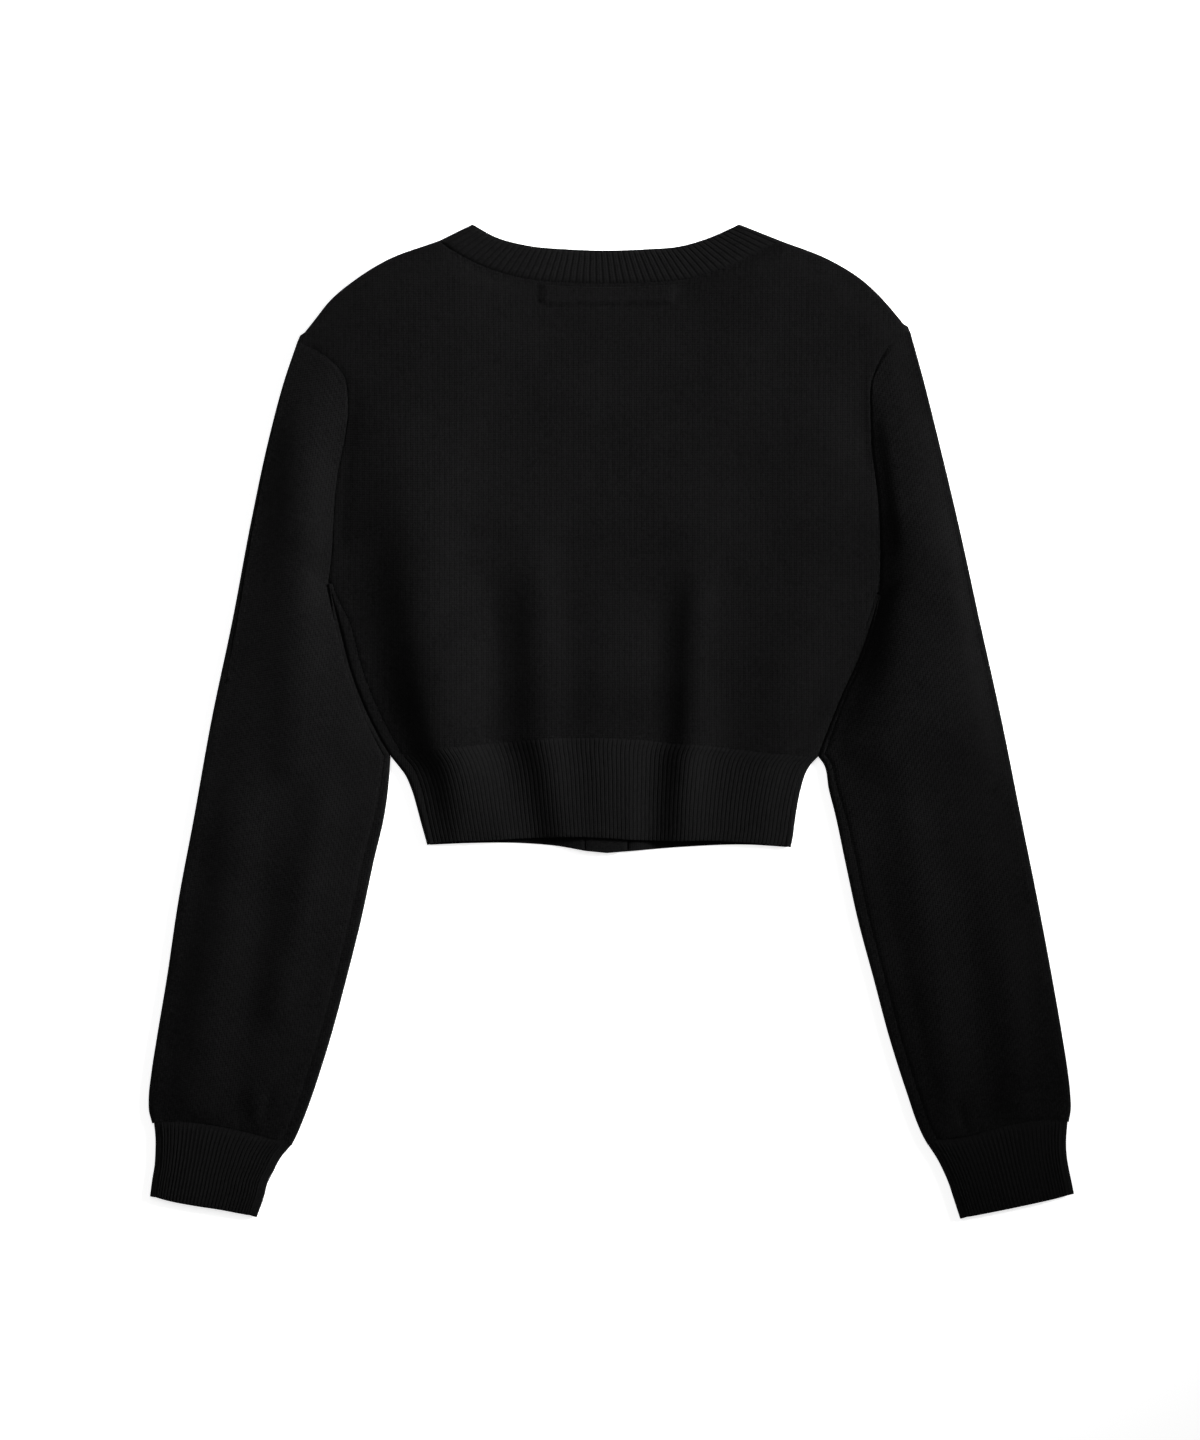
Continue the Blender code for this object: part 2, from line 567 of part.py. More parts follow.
def make_sleeve(side, cloth):
    """One sleeve: a sheet folded at its outer edge, with the underarm seam just inside its inner edge."""
    apart = side.into[SIDE_STEPS:] * -SEAM_GAP
    armhole = side.armhole + apart
    arm_height = side.seam_height[SIDE_STEPS:]
    cap = np.column_stack([armhole[CAP_CORNER:], arm_height[CAP_CORNER:]])
    cap_line = along_polyline(cap, even(SLEEVE_ACROSS))[::-1]

    beside = side.side[::-1] - side.into[: SIDE_STEPS + 1][::-1] * (SEAM_GAP + 0.1)
    free = smooth_line(side.sleeve_inner, SLEEVE_FREE_SHARES)
    free[0] = beside[-1]
    closed_edge = np.concatenate([beside, free[1:]])
    inner_edge = np.concatenate([armhole[CAP_CORNER:0:-1], closed_edge])
    run = run_along(inner_edge)
    outer_edge = smooth_line(side.sleeve_outer, run / run[-1])
    outer_edge[0] = armhole[-1]
    rows = len(inner_edge)
    row = np.arange(rows)
    closed_rows = row >= CAP_CORNER
    near = ease((row - CAP_CORNER) / 2)
    middle = (outer_edge + inner_edge) / 2
    into_inner = inward(inner_edge, middle)
    into_outer = inward(outer_edge, middle)
    into_outer[0] = unit(cap_line[1, :2] - cap_line[0, :2])
    radius = UNDERARM_ROUND + (EDGE_ROUND - UNDERARM_ROUND) * near
    strip = np.where(closed_rows, UNDERARM_STRIP + (SLEEVE_STRIP - UNDERARM_STRIP) * near, 0)
    seam = inner_edge + into_inner * strip[:, None]
    open_height = arm_height[CAP_CORNER:0:-1]
    seam_height = np.concatenate([open_height, EDGE_HEIGHT + near[CAP_CORNER:]])

    u = even(SLEEVE_ACROSS)
    v = row / (rows - 1)
    outer_flat = outer_edge + into_outer * FLAT_INSET
    inner_flat = inner_edge + into_inner * FLAT_INSET
    cuff = smooth_line(side.cuff_join, u)
    cuff_height = np.full(SLEEVE_ACROSS + 1, EDGE_HEIGHT + SLEEVE_END_LIFT)
    shoulder_row = cap_line[:, :2].copy()
    shoulder_row[0] = outer_flat[0]
    top_plan = fill(shoulder_row, cuff, outer_flat, seam, u, v)
    top_plan[-1, 0] = outer_flat[-1]
    border = fill(
        cap_line[:, 2:3],
        cuff_height[:, None],
        np.full((rows, 1), EDGE_HEIGHT + SLEEVE_LIFT),
        seam_height[:, None],
        u,
        v,
    )[..., 0]
    top_z = border + SLEEVE_CROWN * crown_over(top_plan, SLEEVE_ROUNDING)
    top_z = top_z + fold_relief(top_plan, side.sleeve_folds) * crown_over(top_plan, SLEEVE_FOLD_ROUNDING)
    under_u = even(SLEEVE_UNDER)
    under_row = along_polyline(shoulder_row, under_u)
    under_plan = fill(under_row, along_polyline(cuff, under_u), outer_flat, inner_flat, under_u, v)
    grids = []
    for depth in (0, JERSEY):
        upper = with_height(top_plan, top_z - depth)[:, ::-1]
        turn = even_curl(outer_edge, into_outer, FOLD_SHARES[::-1], depth)
        under = with_height(under_plan, np.full(under_plan.shape[:2], float(depth)))
        apart_seam = seam + into_inner * -SEAM_GAP * closed_rows[:, None]
        last = wrapped(inner_edge, into_inner, radius, apart_seam, seam_height, closed_rows, depth)
        grid = np.concatenate([upper, turn, under, last], axis=1)
        grid[-1, :, 1] += SEAM_GAP / 2
        grids.append(grid)
    return wall(side.name + "_sleeve", grids[0], grids[1], False, cloth)


def ribbed(count):
    """Rib relief at two points a rib: groove, crest, groove, crest."""
    return RIB_RAISE * (np.arange(count) % 2)


def cuff_plan(side, u, v, left, right):
    """Plan points of one layer of a cuff. left and right are its flat borders, just inside its outlines."""
    rows = []
    for line, first, last in ((side.cuff_join, left[0], right[0]), (side.cuff_edge, left[-1], right[-1])):
        row = smooth_line(line, u)
        row = row + (first - row[0]) * (1 - u)[:, None] ** CUFF_NEAR
        row = row + (last - row[-1]) * u[:, None] ** CUFF_NEAR
        rows.append(row)
    return fill(rows[0], rows[1], left, right, u, v)


def make_cuff(side, cloth):
    """One cuff: a ribbed ring whose underside is plain, where it rests."""
    v = np.array(CUFF_SHARES)
    outer_edge = smooth_line(side.cuff_outer, v)
    inner_edge = smooth_line(side.cuff_inner, v)
    outer_edge[0, 1] -= SEAM_GAP / 2
    inner_edge[0, 1] -= SEAM_GAP / 2
    middle = (outer_edge + inner_edge) / 2
    into_outer = inward(outer_edge, middle)
    into_inner = inward(inner_edge, middle)
    left = outer_edge + into_outer * FLAT_INSET
    right = inner_edge + into_inner * FLAT_INSET
    height = EDGE_HEIGHT - CUFF_TAPER * v
    radius = np.full(len(v), EDGE_ROUND)
    upper_u = even(2 * CUFF_RIBS)
    upper_plan = cuff_plan(side, upper_u, v, left, right)
    under_plan = cuff_plan(side, even(CUFF_UNDER), v, left, right)
    crown = CUFF_CROWN * np.sin(np.pi * upper_u) ** 0.7
    grids = []
    for depth in (0, RIB_BASE):
        z = (height + CUFF_LIFT)[:, None] + crown[None] - depth
        if depth == 0:
            z = z + ribbed(len(upper_u))[None]
        upper = with_height(upper_plan, z)[:, ::-1]
        first = curl(outer_edge, into_outer, height, radius, CUFF_FOLD_SHARES[::-1], depth)
        under = with_height(under_plan, np.full(under_plan.shape[:2], float(depth)))
        second = curl(inner_edge, into_inner, height, radius, CUFF_FOLD_SHARES, depth)
        grids.append(np.concatenate([upper, first, under, second], axis=1))
    return wall(side.name + "_cuff", grids[0], grids[1], True, cloth)


def rib_side(side):
    """Outline, inward direction and side seam of the hem band, from the join down to the hem."""
    v = np.array(HEM_SHARES)
    edge = smooth_line(side.rib_edge[::-1], v)
    into = inward(edge, (0, edge[:, 1].mean()))
    into[0] = side.join_into
    top_strip, hem_strip = side.rib_strips
    seam = edge + into * (top_strip + (hem_strip - top_strip) * v)[:, None]
    seam[0] = side.seam[0]
    return v, edge, into, seam


def make_back_hem(cloth):
    """The back hem band, ribbed along its height."""
    u = even(2 * HEM_RIBS)
    v, _, _, left = rib_side(LEFT)
    right = rib_side(RIGHT)[3]
    first = back_join(u)
    last = smooth_line([left[-1], *BACK_HEM[1:-1], right[-1]], u)
    plan = fill(first, last, left, right, u, v)
    plan[0, :, 1] -= SEAM_GAP / 2
    top = join_top(first, u)
    low = heights(HEM_HEIGHTS, u)
    z = top[None] + (low - top)[None] * v[:, None]
    outer = with_height(plan, z + ribbed(len(u))[None])
    inner = with_height(plan, z - RIB_BASE)
    return wall("back_hem_rib", outer, inner, False, cloth)


def make_front_hem(side, cloth):
    """One front hem band, plain where it rests, which turns up at the side to meet the back band."""
    v, edge, into, seam = rib_side(side)
    u = even(FRONT_HEM_STEPS)
    flat_edge = edge + into * FLAT_INSET
    first = smooth_line(side.join_line, u)
    last = smooth_line(side.hem_line, u)
    first[-1] = flat_edge[0]
    last[-1] = flat_edge[-1]
    centre = first[0] + (last[0] - first[0]) * v[:, None]
    plan = fill(first, last, centre, flat_edge, u, v)
    heights_at_seam = np.array([join_top(first[-1:], np.zeros(1))[0], HEM_HEIGHTS[0][1]])
    seam_height = heights_at_seam[0] + (heights_at_seam[1] - heights_at_seam[0]) * v
    closed_rows = np.ones(len(v), bool)
    grids = []
    for depth in (0, RIB_BASE):
        flat = with_height(plan, rise_of(plan, side) + depth)
        turn = wrapped(edge, into, np.full(len(v), EDGE_ROUND), seam - into * SEAM_GAP, seam_height,
                       closed_rows, depth)
        grid = np.concatenate([flat, turn], axis=1)
        grid[0, :, 1] -= SEAM_GAP / 2
        grids.append(grid)
    return wall(side.name + "_front_hem_rib", grids[0], grids[1], False, cloth)


def make_neckband(cloth):
    """The neckband: one ribbed strip from the button band round the back to the buttonhole band."""
    across = even(NECK_ACROSS)

    def strip(seam_line, free_line, steps):
        u = even(steps)
        seam = smooth_line(seam_line, u)
        free = smooth_line(free_line, u)
        plan = seam[None] + (free - seam)[None] * across[:, None, None]
        step = free - seam
        plan[0] += NECK_GAP * unit(step)
        return plan

    back = strip(BACK_NECK, BACK_NECK_TOP, 2 * NECK_RIBS)
    fronts = {s: strip(s.neck_line, s.neck_top, FRONT_NECK_STEPS) for s in (LEFT, RIGHT)}
    back_u = even(2 * NECK_RIBS)
    seam_z = heights(NECK_HEIGHTS, back_u)
    free_z = EDGE_HEIGHT - (EDGE_HEIGHT - NECK_FREE_HEIGHT) * np.sin(np.pi * back_u) ** 0.6
    back_z = seam_z[None] + (free_z - seam_z)[None] * across[:, None]
    grids = []
    for depth in (0, BAND_CLOTH):
        pieces = []
        for side in (LEFT, RIGHT):
            front = fronts[side]
            flat = with_height(front, rise_of(front, side) + depth)[:, :-1]
            line = front[:, -1]
            into_front = unit(front[:, -2] - line)
            into_back = unit((back[:, 1] if side is LEFT else back[:, -2]) - line)
            below = even_curl(line, into_front, FOLD_SHARES[:3], depth)
            above = even_curl(line, into_back, FOLD_SHARES[3:], depth)
            pieces.append(np.concatenate([flat, below, above], axis=1))
        z = back_z - depth
        if depth == 0:
            z = z + ribbed(2 * NECK_RIBS + 1)[None]
        upper = with_height(back, z)[:, NECK_SKIP:-NECK_SKIP]
        grids.append(np.concatenate([pieces[0], upper, pieces[1][:, ::-1]], axis=1))
    return wall("neckband", grids[0], grids[1], False, cloth)


def make_band(name, z, cloth):
    """One of the two overlapping bands down the centre front."""
    x, low = np.array(BAND_BOTTOM, float).T
    y = low[None] + (BAND_TOP_Y - low)[None] * even(BAND_STEPS)[:, None]
    plan = np.stack([np.broadcast_to(x, y.shape), y], axis=-1)
    outer = with_height(plan, np.full(y.shape, z))
    inner = with_height(plan, np.full(y.shape, z + BAND_CLOTH))
    return wall(name, outer, inner, False, cloth)


def make_button(index, finish):
    """A round button with a rim, lying under the bands."""
    mesh = bmesh.new()
    y = BUTTON_FIRST_Y + (BUTTON_LAST_Y - BUTTON_FIRST_Y) * index / (BUTTON_COUNT - 1)
    x = (PLACKET_LEFT_X + PLACKET_RIGHT_X) / 2
    rings = []
    for share, level in BUTTON_PROFILE:
        ring = []
        for k in range(BUTTON_SIDES):
            angle = 2 * math.pi * k / BUTTON_SIDES
            across = x + BUTTON_RADIUS * share * math.cos(angle)
            along = y + BUTTON_RADIUS * share * math.sin(angle)
            ring.append(mesh.verts.new((across * MM, along * MM, BUTTON_THICK * level * MM)))
        rings.append(ring)
    for low, high in zip(rings, rings[1:]):
        for k in range(BUTTON_SIDES):
            n = (k + 1) % BUTTON_SIDES
            mesh.faces.new((low[k], low[n], high[n], high[k]))
    mesh.faces.new(rings[0])
    mesh.faces.new(rings[-1])
    bmesh.ops.triangulate(mesh, faces=mesh.faces[:])
    bmesh.ops.recalc_face_normals(mesh, faces=mesh.faces[:])
    return add_object(f"button_{index + 1}", mesh, finish)


def clear_scene():
    for thing in list(bpy.data.objects):
        bpy.data.objects.remove(thing, do_unlink=True)


def main():
    clear_scene()
    jersey = make_material("jersey_knit", (0.008, 0.008, 0.008), 0.95)
    rib = make_material("rib_knit", (0.007, 0.007, 0.007), 0.95)
    band = make_material("band_knit", (0.008, 0.008, 0.008), 0.95)
    button = make_material("button", (0.012, 0.012, 0.012), 0.35)
    make_back(jersey)
    make_back_hem(rib)
    for side in (LEFT, RIGHT):
        make_front(side, jersey)
        make_front_hem(side, rib)
        make_sleeve(side, jersey)
        make_cuff(side, rib)
    make_neckband(rib)
    make_band("buttonhole_band", LOWER_BAND_Z, band)
    make_band("button_band", UPPER_BAND_Z, band)
    for index in range(BUTTON_COUNT):
        make_button(index, button)


main()
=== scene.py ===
"""Knit cloth, ribs, seams, buttons, floor, light and camera for a cropped cardigan laid with its back up.

Lengths are millimetres until a mesh is made. The axes are the solids' own: +X is the wearer's right, +Y runs
from the hem to the neck, +Z is up, and the front panels lie on the floor with the back panel over them.
"""

from __future__ import annotations

import logging
import math
from dataclasses import dataclass, field
from enum import Enum

import bmesh
import bpy
import numpy as np
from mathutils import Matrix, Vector

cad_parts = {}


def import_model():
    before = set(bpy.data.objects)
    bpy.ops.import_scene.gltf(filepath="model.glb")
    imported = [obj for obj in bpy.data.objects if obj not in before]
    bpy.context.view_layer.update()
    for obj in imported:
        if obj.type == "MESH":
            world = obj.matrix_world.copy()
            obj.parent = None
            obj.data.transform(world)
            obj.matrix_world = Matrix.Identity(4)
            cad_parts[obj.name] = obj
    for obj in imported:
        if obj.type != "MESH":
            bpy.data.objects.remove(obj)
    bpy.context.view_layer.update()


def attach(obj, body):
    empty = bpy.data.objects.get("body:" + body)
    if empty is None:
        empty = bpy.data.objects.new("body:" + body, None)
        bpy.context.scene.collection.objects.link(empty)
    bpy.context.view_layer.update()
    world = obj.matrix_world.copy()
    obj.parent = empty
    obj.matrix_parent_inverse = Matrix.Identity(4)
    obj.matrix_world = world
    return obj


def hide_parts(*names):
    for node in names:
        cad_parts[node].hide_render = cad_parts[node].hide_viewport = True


log = logging.getLogger("cardigan")

Grid = np.ndarray
Table = list[tuple[float, ...]]
Colour = tuple[float, float, float]
Reaches = tuple[float, float, float, float]
MM = 0.001
MM_PER_CM = 10


@dataclass(frozen=True)
class Sizes:
    """Sizes that the knit pieces share, in millimetres."""

    jersey: float = 1.6
    rib_base: float = 1.5
    rib_raise: float = 0.7
    per_rib: int = 6
    band: float = 2.2
    seam_gap: float = 0.3
    neck_gap: float = 0.45
    fold_height: float = 7.0
    fold_round: float = 3.2
    fold_steps: int = 8
    underarm_round: float = 0.5
    underarm_reach: float = 34.0
    least_round: float = 0.2
    allowance: float = 2.2
    side_overlap: float = 0.5
    flat_inset: float = 4.6
    underarm_strip: float = 2.4
    sleeve_strip: float = 7.5
    hem_strip: float = 4.6
    hem_depth: float = 66.0
    placket_rise: float = 24.0
    button_thick: float = 2.2
    step: float = 2.5
    rib_step: float = 3.0
    gather_reach: float = 3.0


SIZES = Sizes()
LOWER_BAND_Z = SIZES.button_thick + SIZES.seam_gap
UPPER_BAND_Z = LOWER_BAND_Z + SIZES.band + SIZES.seam_gap


class Facing(Enum):
    """Which way round a folded edge the cloth is laid."""

    LOWER = (-1.0, 0.0)
    WHOLE = (-1.0, 1.0)
    UPPER = (1.0, 0.0)

    def shares(self, steps: int, end: float | None = None) -> Grid:
        """Shares of the fold from the first level to the last, in even steps."""
        return np.linspace(self.value[0], self.value[1] if end is None else end, steps + 1)


class Border(Enum):
    """A border of a grid of points: the axis that runs away from it and whether it is at that axis's end."""

    FIRST_COLUMN = (1, False)
    LAST_COLUMN = (1, True)
    FIRST_ROW = (0, False)
    LAST_ROW = (0, True)


def ease(x: Grid | float) -> Grid:
    """0 to 1 with no slope at either end."""
    x = np.clip(x, 0.0, 1.0)
    return x * x * (3 - 2 * x)


def blend(first: Grid | float, last: Grid | float, share: Grid) -> Grid:
    """From the first value to the last, by this share."""
    return first + (last - first) * share


def even(steps: int) -> Grid:
    """Shares from 0 to 1 in even steps."""
    return np.linspace(0, 1, steps + 1)


def rounding(distance: Grid, reach: float) -> Grid:
    """0 at a border, rising to 1 over about this reach."""
    return 1 - np.exp(-((distance / reach) ** 1.5))


def seam_tuck(distance: Grid, depth: float, reach: float = 1.5) -> Grid:
    """How far cloth dips towards the seam at its border."""
    return -depth * np.exp(-((distance / reach) ** 1.3))


def soft_end(distance: Grid, depth: float = 0.45, reach: float = 0.7) -> Grid:
    """How far the outer face drops where a free edge rounds over."""
    return -depth * np.exp(-((distance / reach) ** 2))


def unit(vectors: Grid) -> Grid:
    """The same directions with a length of 1."""
    return vectors / np.linalg.norm(vectors, axis=-1)[..., None]


def with_height(plan: Grid, z: Grid | float) -> Grid:
    """Plan points with their heights added as a third number."""
    return np.concatenate([plan, np.broadcast_to(z, plan.shape[:-1])[..., None]], axis=-1)


def run_along(grid: Grid) -> Grid:
    """The distance gone from the first point, along the first axis of a grid of points."""
    steps = np.linalg.norm(np.diff(grid, axis=0), axis=-1)
    return np.concatenate([np.zeros((1,) + steps.shape[1:]), np.cumsum(steps, axis=0)])


def graded(length: float, step: float, start: bool, end: bool) -> Grid:
    """Shares of a length in even steps, with finer ones where a seam is.

    Args:
        length: The length in millimetres.
        step: The usual step.
        start: Whether there is a seam at the start.
        end: Whether there is a seam at the end.

    Returns:
        Shares from 0 to 1.
    """
    fine = np.array([0.0, 0.7, 1.5, 2.6, 4.2])
    first = fine if start else fine[:1]
    last = length - (fine if end else fine[:1])[::-1]
    inside = np.linspace(first[-1], last[0], max(2, round((last[0] - first[-1]) / step)) + 1)
    return np.concatenate([first[:-1], inside, last[1:]]) / length


def smooth_line(points: Table | Grid, shares: Grid) -> Grid:
    """A smooth curve through the given points.

    Args:
        points: Plan points that the curve goes through.
        shares: Shares of its length, from 0 to 1.

    Returns:
        The curve's points at these shares.
    """
    p = np.array(points, float)
    at = run_along(p)
    steps = np.diff(at)
    slope = np.gradient(p, at, axis=0)
    t = np.linspace(0, at[-1], 60 * len(p))
    i = np.clip(np.searchsorted(at, t, side="right") - 1, 0, len(steps) - 1)
    h = steps[i][:, None]
    x = ((t - at[i]) / steps[i])[:, None]
    from_start = (1 + 2 * x) * (1 - x) ** 2 * p[i] + x * (1 - x) ** 2 * h * slope[i]
    fine = from_start + x * x * (3 - 2 * x) * p[i + 1] + x * x * (x - 1) * h * slope[i + 1]
    return along_polyline(fine, shares)


def along_polyline(points: Grid, shares: Grid) -> Grid:
    """Points of a straight-sided line.

    Args:
        points: Its corners, with two or more numbers each.
        shares: Shares of its length on the plan, from 0 to 1.

    Returns:
        The points at these shares.
    """
    run = run_along(points[:, :2])
    want = np.asarray(shares) * run[-1]
    return np.column_stack([np.interp(want, run, column) for column in points.T])


def heights(table: Table, shares: Grid) -> Grid:
    """A smooth run of heights.

    Args:
        table: Rows of (share, height).
        shares: Where the heights are wanted.

    Returns:
        The height at each share.
    """
    at, value = np.array(table, float).T
    i = np.clip(np.searchsorted(at, shares, side="right") - 1, 0, len(at) - 2)
    return blend(value[i], value[i + 1], ease((shares - at[i]) / (at[i + 1] - at[i])))


def fill(bottom: Grid, top: Grid, left: Grid, right: Grid, u: Grid, v: Grid, keep: float = 1.0) -> Grid:
    """The patch between four borders, of points or of heights.

    Args:
        bottom: The border along u at v = 0.
        top: The border along u at v = 1.
        left: The border along v at u = 0.
        right: The border along v at u = 1.
        u: Shares across.
        v: Shares along.
        keep: The higher it is, the nearer to its own border the bend of a side border stays.

    Returns:
        A grid, v by u.
    """
    if bottom.ndim == 1:
        return fill(*(border[:, None] for border in (bottom, top, left, right)), u, v, keep)[..., 0]
    v = v[:, None]
    bend_left = left - blend(bottom[0], top[0], v)
    bend_right = right - blend(bottom[-1], top[-1], v)
    u = u[None, :, None]
    across = blend(bottom[None], top[None], v[:, None])
    return across + (1 - u) ** keep * bend_left[:, None] + u**keep * bend_right[:, None]


def distance_in(grid: Grid, border: Border) -> Grid:
    """How far each point lies from a border, along its own grid line.

    Args:
        grid: Points in rows and columns.
        border: The border.

    Returns:
        A distance for each point.
    """
    axis, at_end = border.value
    turn = slice(None, None, -1 if at_end else 1)
    return np.moveaxis(run_along(np.moveaxis(grid, axis, 0)[turn])[turn], 0, axis)


def from_sides(grid: Grid) -> Grid:
    """How far each point lies from the nearer one of the first and the last column."""
    return np.minimum(distance_in(grid, Border.FIRST_COLUMN), distance_in(grid, Border.LAST_COLUMN))


def crown_over(plan: Grid, reaches: Reaches) -> Grid:
    """How far a panel has rounded up from its borders.

    Args:
        plan: Plan points in rows and columns.
        reaches: The rounding length at the first and last column and the first and last row, 0 for none.

    Returns:
        0 at the borders, rising to 1 inside.
    """
    share = np.ones(plan.shape[:2])
    for border, reach in zip(Border, reaches):
        if reach:
            share = share * rounding(distance_in(plan, border), reach)
    return share


def inward(line: Grid, inside: Grid | tuple[float, float]) -> Grid:
    """Unit normals of a plan line.

    Args:
        line: Plan points.
        inside: A point on the wanted side of its first point, or one for each of its points.

    Returns:
        A normal for each point, all on the same side.
    """
    along = unit(np.gradient(line, axis=0))
    normal = np.column_stack([-along[:, 1], along[:, 0]])
    return normal * np.sign(normal[0] @ (np.broadcast_to(inside, line.shape)[0] - line[0]))


def curl(
    edge: Grid,
    into: Grid,
    shares: Grid,
    depth: float,
    height: Grid | float = SIZES.fold_height,
    radius: Grid | float = SIZES.fold_round,
) -> Grid:
    """Points round a folded edge.

    Args:
        edge: The fold's outline on the plan.
        into: The way into the cloth at each of its points.
        shares: From -1 on the floor, over 0 on the outline, to 1 on the top.
        depth: 0 for the outer face, or the cloth's thickness for the inner one.
        height: The fold's whole height there.
        radius: How far in the fold is round.

    Returns:
        A grid of points, edge by shares.
    """
    height = np.broadcast_to(height, len(edge))[:, None]
    inner = np.maximum(np.broadcast_to(radius, len(edge)) - depth, SIZES.least_round)[:, None]
    angle = np.asarray(shares)[None] * math.pi / 2
    inset = depth + inner * (1 - np.cos(angle))
    z = depth + (height - 2 * depth) * (1 + np.sin(angle)) / 2
    return with_height(edge[:, None] + inset[..., None] * into[:, None], z)


def straight_rim(edge: Grid, into: Grid, gone: Grid) -> Grid:
    """Plan points that lead straight out to an edge, at these shares of the fold's width."""
    return edge[:, None] + into[:, None] * (1 - gone)[None, :, None] * SIZES.fold_round


def wrapped(
    edge: Grid, into: Grid, radius: Grid, seam: Grid, seam_height: Grid, closed: Grid, depth: float
) -> Grid:
    """The last columns of a lower panel, which turn up round the folded edge to a seam on the upper side.

    Args:
        edge: The outline at each row.
        into: The way into the cloth at each row.
        radius: How round the fold is at each row.
        seam: Plan points of the seam.
        seam_height: Its height at each row.
        closed: Which rows turn up. The others lie flat to the outline.
        depth: 0 for the outer face, or the cloth's thickness for the inner one.

    Returns:
        A grid of points, rows by columns.
    """
    turned = curl(edge, into, Facing.WHOLE.shares(SIZES.fold_steps), depth, radius=radius)
    folded = np.concatenate([turned, with_height(seam, seam_height - depth)[:, None]], axis=1)
    count = folded.shape[1]
    insets = SIZES.flat_inset * (1 - np.arange(1, count + 1) / count)
    level = with_height(edge[:, None] + into[:, None] * insets[None, :, None], depth)
    return np.where(closed[:, None, None], folded, level)


def ribs_on(run: Grid, count: int, relief: float, start: float = 0.35, reach: float = 2.5) -> Grid:
    """Broad round ribs with narrow grooves between them, which grow from the seam.

    Args:
        run: The distance from the seam at each row.
        count: How many points lie across the ribs, the first in a groove.
        relief: Their height as a share of the usual one.
        start: The share of it that they have at the seam.
        reach: How far from the seam they have their full height.

    Returns:
        The height at each point.
    """
    phase = (np.arange(count) % SIZES.per_rib) / SIZES.per_rib
    crest = SIZES.rib_raise * np.sin(np.pi * phase) ** 0.8
    return crest[None] * blend(start, 1, ease(run / reach))[:, None] * relief


def gathers(u: Grid, count: int, height: float, distance: Grid) -> Grid:
    """Small even ripples that die away from the seam that gathers them."""
    return height * np.cos(2 * np.pi * count * u)[None] * np.exp(-distance / SIZES.gather_reach)


def smoothed(z: Grid, passes: int) -> Grid:
    """Heights with each row's kinks worn away, the more the more passes."""
    for _ in range(passes):
        z = np.concatenate([z[:, :1], (z[:, :-2] + 2 * z[:, 1:-1] + z[:, 2:]) / 4, z[:, -1:]], axis=1)
    return z


def waviness(plan: Grid, size: float) -> Grid:
    """Slow unevenness of cloth that lies by its own weight.

    Args:
        plan: Plan points.
        size: Its greatest height.

    Returns:
        A height for each point, falling away to the borders.
    """
    x, y = plan[..., 0], plan[..., 1]
    first = np.sin(x / 17.3 + 0.9 * np.sin(y / 41.0)) * np.sin(y / 37.1 + 1.3)
    second = np.sin(x / 9.7 - y / 55.0 + 2.1) * np.sin(y / 23.3 - x / 61.0)
    third = np.sin(x / 31.9 + y / 19.7 + 0.4)
    return size * (0.45 * first + 0.25 * second + 0.3 * third) * crown_over(plan, (12, 12, 12, 12))


@dataclass(frozen=True)
class Fold:
    """One soft ridge (+) or trough (-) of the cloth, along a straight line of the plan."""

    start: tuple[float, float]
    end: tuple[float, float]
    half_width: float
    height: float
    fade: float = 0.4
    end_fade: float = 0.0
    gentle_width: float = 0.0

    def relief(self, plan: Grid) -> Grid:
        """The fold's own height, gentler to the left of its line where it has a gentle width.

        Args:
            plan: Plan points.

        Returns:
            The height that it adds at each of them.
        """
        start = np.array(self.start, float)
        run = np.array(self.end) - start
        aside = run[0] * (plan[..., 1] - start[1]) - run[1] * (plan[..., 0] - start[0])
        half_width = np.where(aside > 0, self.gentle_width or self.half_width, self.half_width)
        share = (plan - start) @ run / (run @ run)
        nearest = start + np.clip(share, 0, 1)[..., None] * run
        off = np.linalg.norm(plan - nearest, axis=-1)
        last = (1 - share) / self.end_fade + 0.15 if self.end_fade else (1 - share) / 0.2 + 1
        return self.height * np.exp(-((off / half_width) ** 2)) * ease(share / self.fade + 0.15) * ease(last)


def fold_relief(plan: Grid, folds: list[Fold]) -> Grid:
    """The height that all the folds add at each plan point."""
    return sum((fold.relief(plan) for fold in folds), np.zeros(plan.shape[:-1]))


@dataclass(frozen=True)
class Plateau:
    """A level patch pressed up from under the cloth: its corners, its height and its border's width."""

    low: tuple[float, float]
    high: tuple[float, float]
    height: float
    soft: float

    def relief(self, plan: Grid) -> Grid:
        """The height that the patch adds at each plan point."""
        share = ease(np.minimum(plan - self.low, np.array(self.high) - plan) / self.soft + 0.5)
        return self.height * share[..., 0] * share[..., 1]


def seam_allowance(grids: list[Grid], border: Border, reach: Grid | float = SIZES.allowance) -> list[Grid]:
    """Adds the strip of cloth that lies under the next piece along a seam.

    Args:
        grids: The outer and the inner face's points.
        border: Where the seam is.
        reach: How far the strip reaches under the next piece, one number or one for each point.

    Returns:
        The two grids with the strip added.
    """
    axis, at_end = border.value
    turn = slice(None, None, -1 if at_end else 1)
    outer, inner = (np.moveaxis(grid, axis, 0)[turn] for grid in grids)
    through = inner[0] - outer[0]
    away = outer[0] - outer[3]
    away[:, 2] = 0
    first = outer[0] + unit(away) * np.broadcast_to(reach, len(away))[:, None] + through * 0.45
    strips = ((first, outer), (first + through * 0.5, inner))
    return [np.moveaxis(np.concatenate([strip[None], face])[turn], 0, axis) for strip, face in strips]


